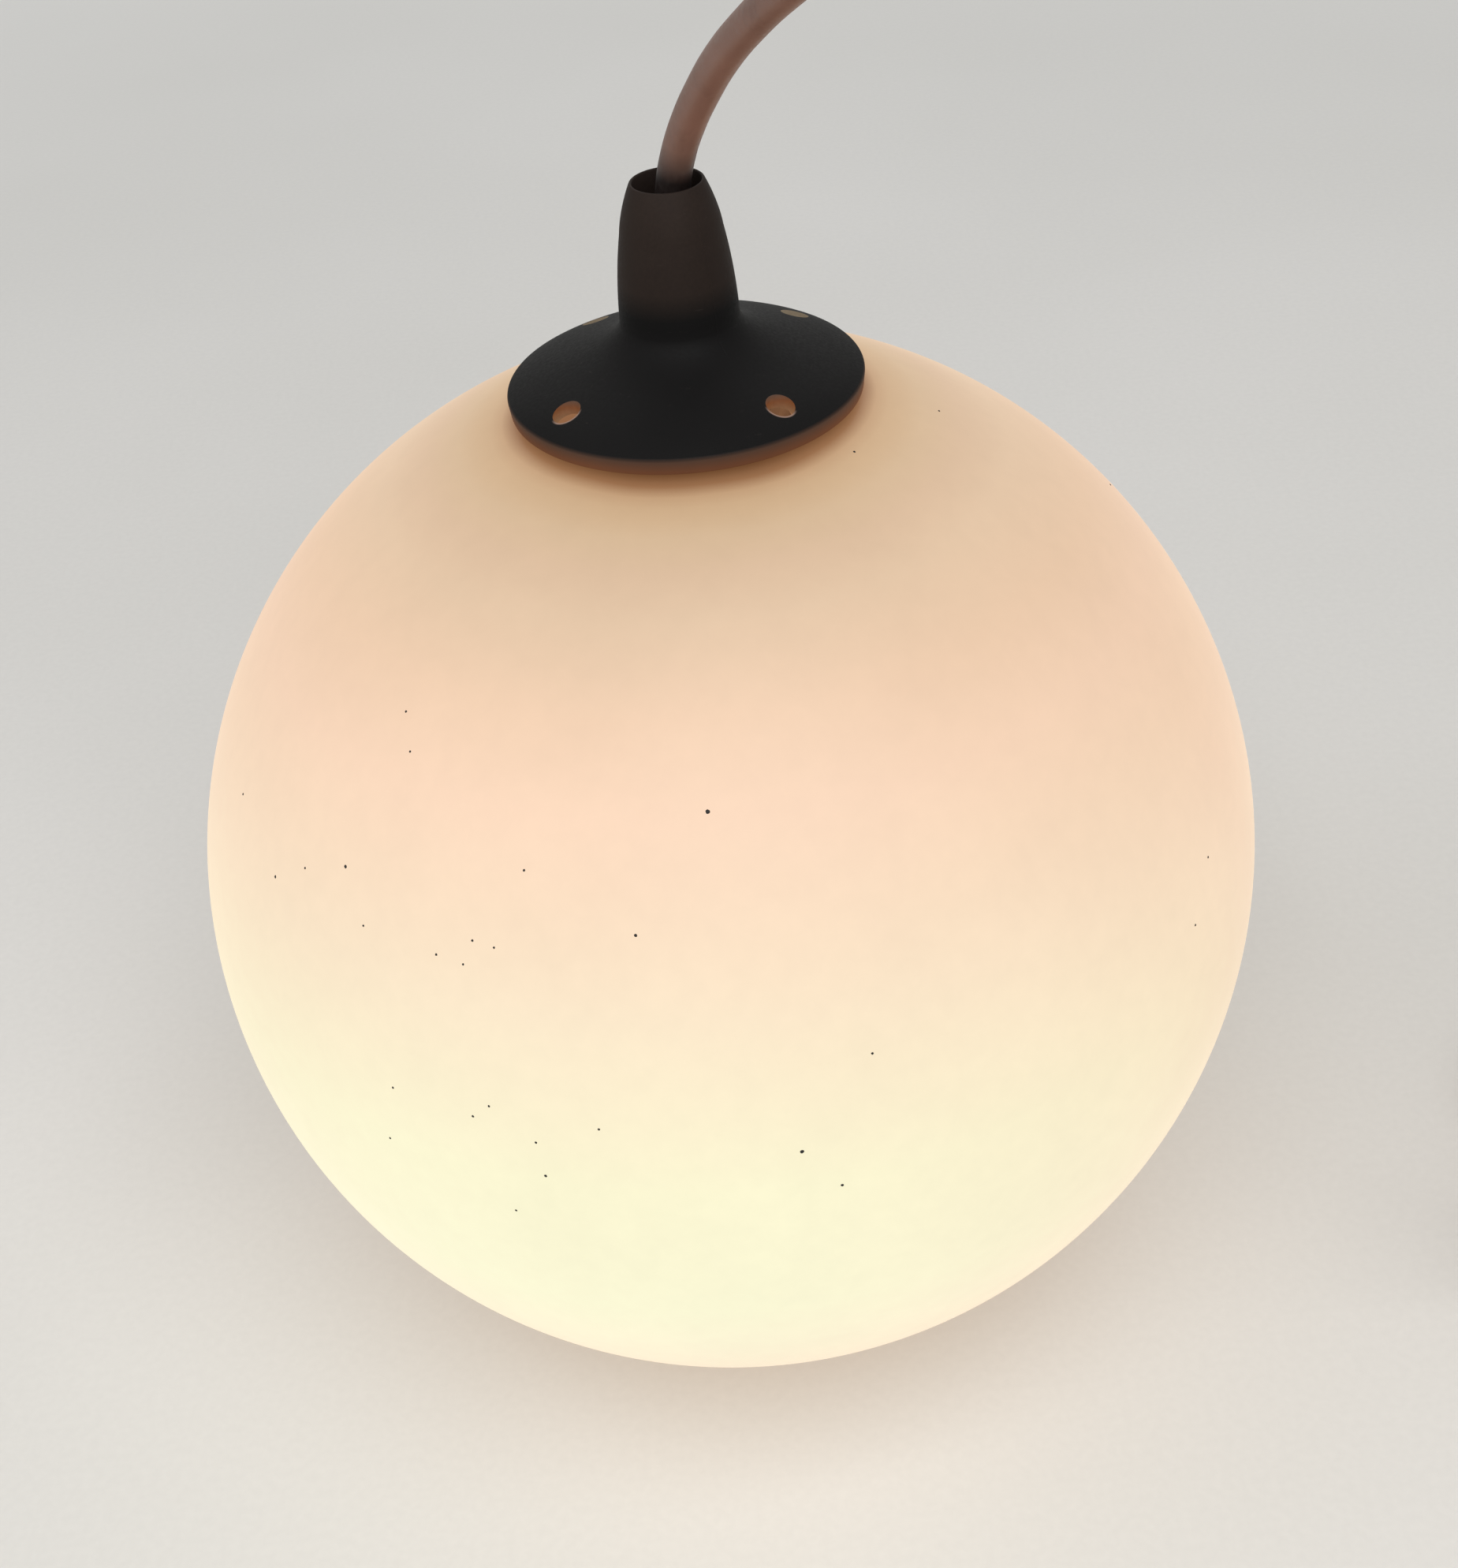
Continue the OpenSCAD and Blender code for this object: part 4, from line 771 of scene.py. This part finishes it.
def coil_strap():
    """A ribbed strap round the coil, with rounded corners and a small buckle on top."""
    low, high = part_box("coil_tie")
    thin, rib, rib_step = 0.48 * MM, 0.12 * MM, 0.35 * MM
    corner, corner_steps = 3 * MM, 8
    x = (low.x + high.x) / 2
    half = (high.x - low.x) / 2
    y0, y1, z0, z1 = low.y + TIE_T, high.y - TIE_T, low.z + TIE_T, high.z - TIE_T
    loop = []
    for cy, cz, start in ((y1 - corner, z1 - corner, 0), (y0 + corner, z1 - corner, 90),
                          (y0 + corner, z0 + corner, 180), (y1 - corner, z0 + corner, 270)):
        for i in range(corner_steps + 1):
            a = math.radians(start + 90 * i / corner_steps)
            away = Vector((0, math.cos(a), math.sin(a)))
            loop.append((Vector((x, cy, cz)) + away * corner, away))
    path = []
    for (p, n), (q, m) in zip(loop, loop[1:] + loop[:1]):
        steps = max(1, round((q - p).length / rib_step))
        path += [(p.lerp(q, i / steps), n.lerp(m, i / steps).normalized()) for i in range(steps)]
    bm = bmesh.new()
    rows = []
    for i, (p, n) in enumerate(path):
        out = thin + (rib if i % 4 < 2 else 0)
        shape = [(-half, 0.1 * MM), (-half, thin - 0.1 * MM), (-half + 0.5 * MM, out), (half - 0.5 * MM, out),
                 (half, thin - 0.1 * MM), (half, 0.1 * MM), (half - 0.2 * MM, 0), (-half + 0.2 * MM, 0)]
        rows.append([bm.verts.new(p + n * out_by + Vector((across, 0, 0))) for across, out_by in shape])
    sides = len(rows[0])
    for near, far in zip(rows, rows[1:] + rows[:1]):
        for k in range(sides):
            bm.faces.new((near[k], near[(k + 1) % sides], far[(k + 1) % sides], far[k]))
    buckle = bmesh.new()
    bmesh.ops.create_cube(buckle, size=1)
    size = Matrix.Diagonal((2 * half + 1.6 * MM, 5.2 * MM, 1.7 * MM, 1))
    bmesh.ops.transform(buckle, matrix=size, verts=buckle.verts)
    bmesh.ops.bevel(buckle, geom=buckle.edges[:], offset=0.45 * MM, segments=3, affect="EDGES")
    taken(bm, buckle, Matrix.Translation((x, (y0 + y1) / 2, z1 + 0.75 * MM)))
    strap = piece_from(bm, "coil_strap", "white_plastic")
    strap.data.set_sharp_from_angle(angle=math.radians(30))
    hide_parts("coil_tie")
    return strap


# Cord, with the route's points as the model has them, in millimetres
CORD_ARCH = [
    (0, 0, -13.5), (0, 0, -11.5), (0.3, 0.3, -7), (1, 0, -1), (2.4, -1.8, 5), (4.3, -5.5, 11),
    (6.8, -11, 17.5), (10, -19, 25), (14, -28.5, 32.5), (19, -40, 40.5), (26, -53, 49), (36, -65, 56.5),
    (49, -75, 61.5), (64, -81, 63), (79, -82, 60), (93, -81, 52.5), (105, -79, 41), (112.5, -76.5, 27),
    (116.5, -74.5, 12)]
CORD_DROP = [
    (119.5, -72.5, -4), (122, -71, -20), (124, -69.5, -36), (125.5, -68, -52), (127, -66.5, -68),
    (128.5, -65, -84), (130, -63.5, -100), (131.5, -62, -116), (133, -60.5, -132), (134.5, -59, -148),
    (136.5, -57, -164), (139.2, -56.2, -175.1), (143, -55.6, -185.9), (147.1, -54.4, -196.5),
    (151.4, -51.9, -206.8), (155.5, -47.4, -216.4), (159.1, -40.1, -224.4), (161.3, -30.1, -229.3)]
RISER = [
    (0, 0, 0), (0, -3, 0), (-0.3, -12.5, 1.4), (-1, -21.3, 5.4), (-2, -28.7, 11.7), (-2.9, -34.1, 19.7),
    (-3.5, -37.3, 28.8), (-4.3, -40.9, 37.8), (-5.7, -46.6, 45.5), (-7.8, -54.1, 51.3),
    (-10.6, -62.7, 54.9), (-14, -71.7, 56), (-17.8, -80.5, 54.4), (-21.6, -88.4, 50.2),
    (-24.9, -94.7, 43.6), (-27.2, -98.8, 35.1), (-28, -100.2, 25.6), (-28, -100.2, 15.8), (-28, -100.2, 6.1)]
# The coil: its outer radius, the room for one turn, its turns and its points in each turn
COIL_R = 36 * MM
COIL_STEP = CORD_D + 0.8 * MM
COIL_TURNS = 2.5
COIL_POINTS = 24
COIL_CENTRE = Vector((162 * MM + COIL_R, -10 * MM, FLOOR_Z + CORD_D / 2 + 0.9 * MM))
# The CAD pieces at the cord's far end
CORD_PIECES = ["cup_screw", "cord_clamp_eye", "cup_wires", "terminal_block",
               "terminal_barrels", "block_screws"]


def climb(t):
    """A soft step from 0 to 1."""
    t = min(max(t, 0), 1)
    return t * t * (3 - 2 * t)


def coil_point(turn):
    """A point of the coil, which winds inwards, steps up halfway and winds outwards again."""
    a = math.radians(180 - 360 * turn)
    r = COIL_R - COIL_STEP * (COIL_TURNS / 2 - abs(turn - COIL_TURNS / 2))
    up = COIL_STEP * climb((turn - COIL_TURNS / 2 + 0.25) / 0.5)
    return COIL_CENTRE + Vector((r * math.cos(a), r * math.sin(a), up))


def cord_route():
    """The whole free cord: arch, drop, coil and riser, in metres."""
    back = Vector((0, CORD_D, 0))
    end = coil_point(COIL_TURNS) - back
    points = [Vector(p) * MM for p in CORD_ARCH + CORD_DROP]
    points += [coil_point(0) - back - Vector((0, 3 * MM, 0)), coil_point(0) - back]
    points += [coil_point(i / COIL_POINTS) for i in range(int(COIL_POINTS * COIL_TURNS) + 1)]
    points += [end + Vector(p) * MM for p in RISER]
    return points


def free_cord():
    """One cord from inside the neck to the ceiling cup, with the pieces at its far end."""
    route = cord_route()
    curve = bpy.data.curves.new("free_cord", "CURVE")
    curve.dimensions = "3D"
    curve.bevel_depth = CORD_D / 2
    curve.bevel_resolution = 6
    curve.resolution_u = 5
    curve.use_fill_caps = True
    spline = curve.splines.new("BEZIER")
    spline.bezier_points.add(len(route) - 1)
    for point, place in zip(spline.bezier_points, route):
        point.co = place
        point.handle_left_type = "AUTO"
        point.handle_right_type = "AUTO"
    curve.materials.append(FINISHES["cord_tan"])
    cord = bpy.data.objects.new("free_cord", curve)
    COLLECTION.objects.link(cord)
    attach(cord, "lamp")
    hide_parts("cord", "cord_coil", "cord_to_cup")
    CORD_PIECES + [coil_strap(), ceiling_rose()]


# Floor and light, in metres and watts

FLOOR_HALF = 6
FLOOR_GAP = 0.3 * MM


def area_light(name, place, size, power):
    """A square lamp that faces the ball."""
    data = bpy.data.lights.new(name, "AREA")
    data.shape = "SQUARE"
    data.size = size
    data.energy = power
    lamp = bpy.data.objects.new(name, data)
    COLLECTION.objects.link(lamp)
    lamp.location = place
    lamp.rotation_euler = (BALL_CENTRE - Vector(place)).to_track_quat("-Z", "Y").to_euler()


def make_floor():
    bm = bmesh.new()
    bmesh.ops.create_grid(bm, x_segments=1, y_segments=1, size=FLOOR_HALF)
    mesh = bpy.data.meshes.new("floor")
    bm.to_mesh(mesh)
    bm.free()
    floor = bpy.data.objects.new("floor", mesh)
    floor.location = (0, 0, FLOOR_Z - FLOOR_GAP)
    COLLECTION.objects.link(floor)
    mesh.materials.append(floor_paper())


def make_world():
    """Soft light all round, which is seen as the pale background."""
    world = bpy.data.worlds.new("world")
    bpy.context.scene.world = world
    world.use_nodes = True
    tree = world.node_tree
    soft = tree.nodes["Background"]
    soft.inputs["Color"].default_value = (0.9, 0.92, 0.95, 1)
    soft.inputs["Strength"].default_value = 0.3
    pale = tree.nodes.new("ShaderNodeBackground")
    pale.inputs["Color"].default_value = (*BACKGROUND, 1)
    pale.inputs["Strength"].default_value = 1
    either = tree.nodes.new("ShaderNodeMixShader")
    tree.links.new(seen_rays(tree), either.inputs[0])
    tree.links.new(soft.outputs[0], either.inputs[1])
    tree.links.new(pale.outputs[0], either.inputs[2])
    tree.links.new(either.outputs[0], tree.nodes["World Output"].inputs["Surface"])


make_camera()
free_cord()
dress_nodes()
opal_ball()
vented_cap()
glass_specks()
make_floor()
make_world()
area_light("key", (0.3, -1.5, 1.7), size=2.2, power=52)
area_light("fill", (-1.6, -0.7, 1.3), size=2.2, power=12)
area_light("rim", (0, 1.9, 1.3), size=2.0, power=9)
bpy.context.scene.view_settings.view_transform = "Standard"
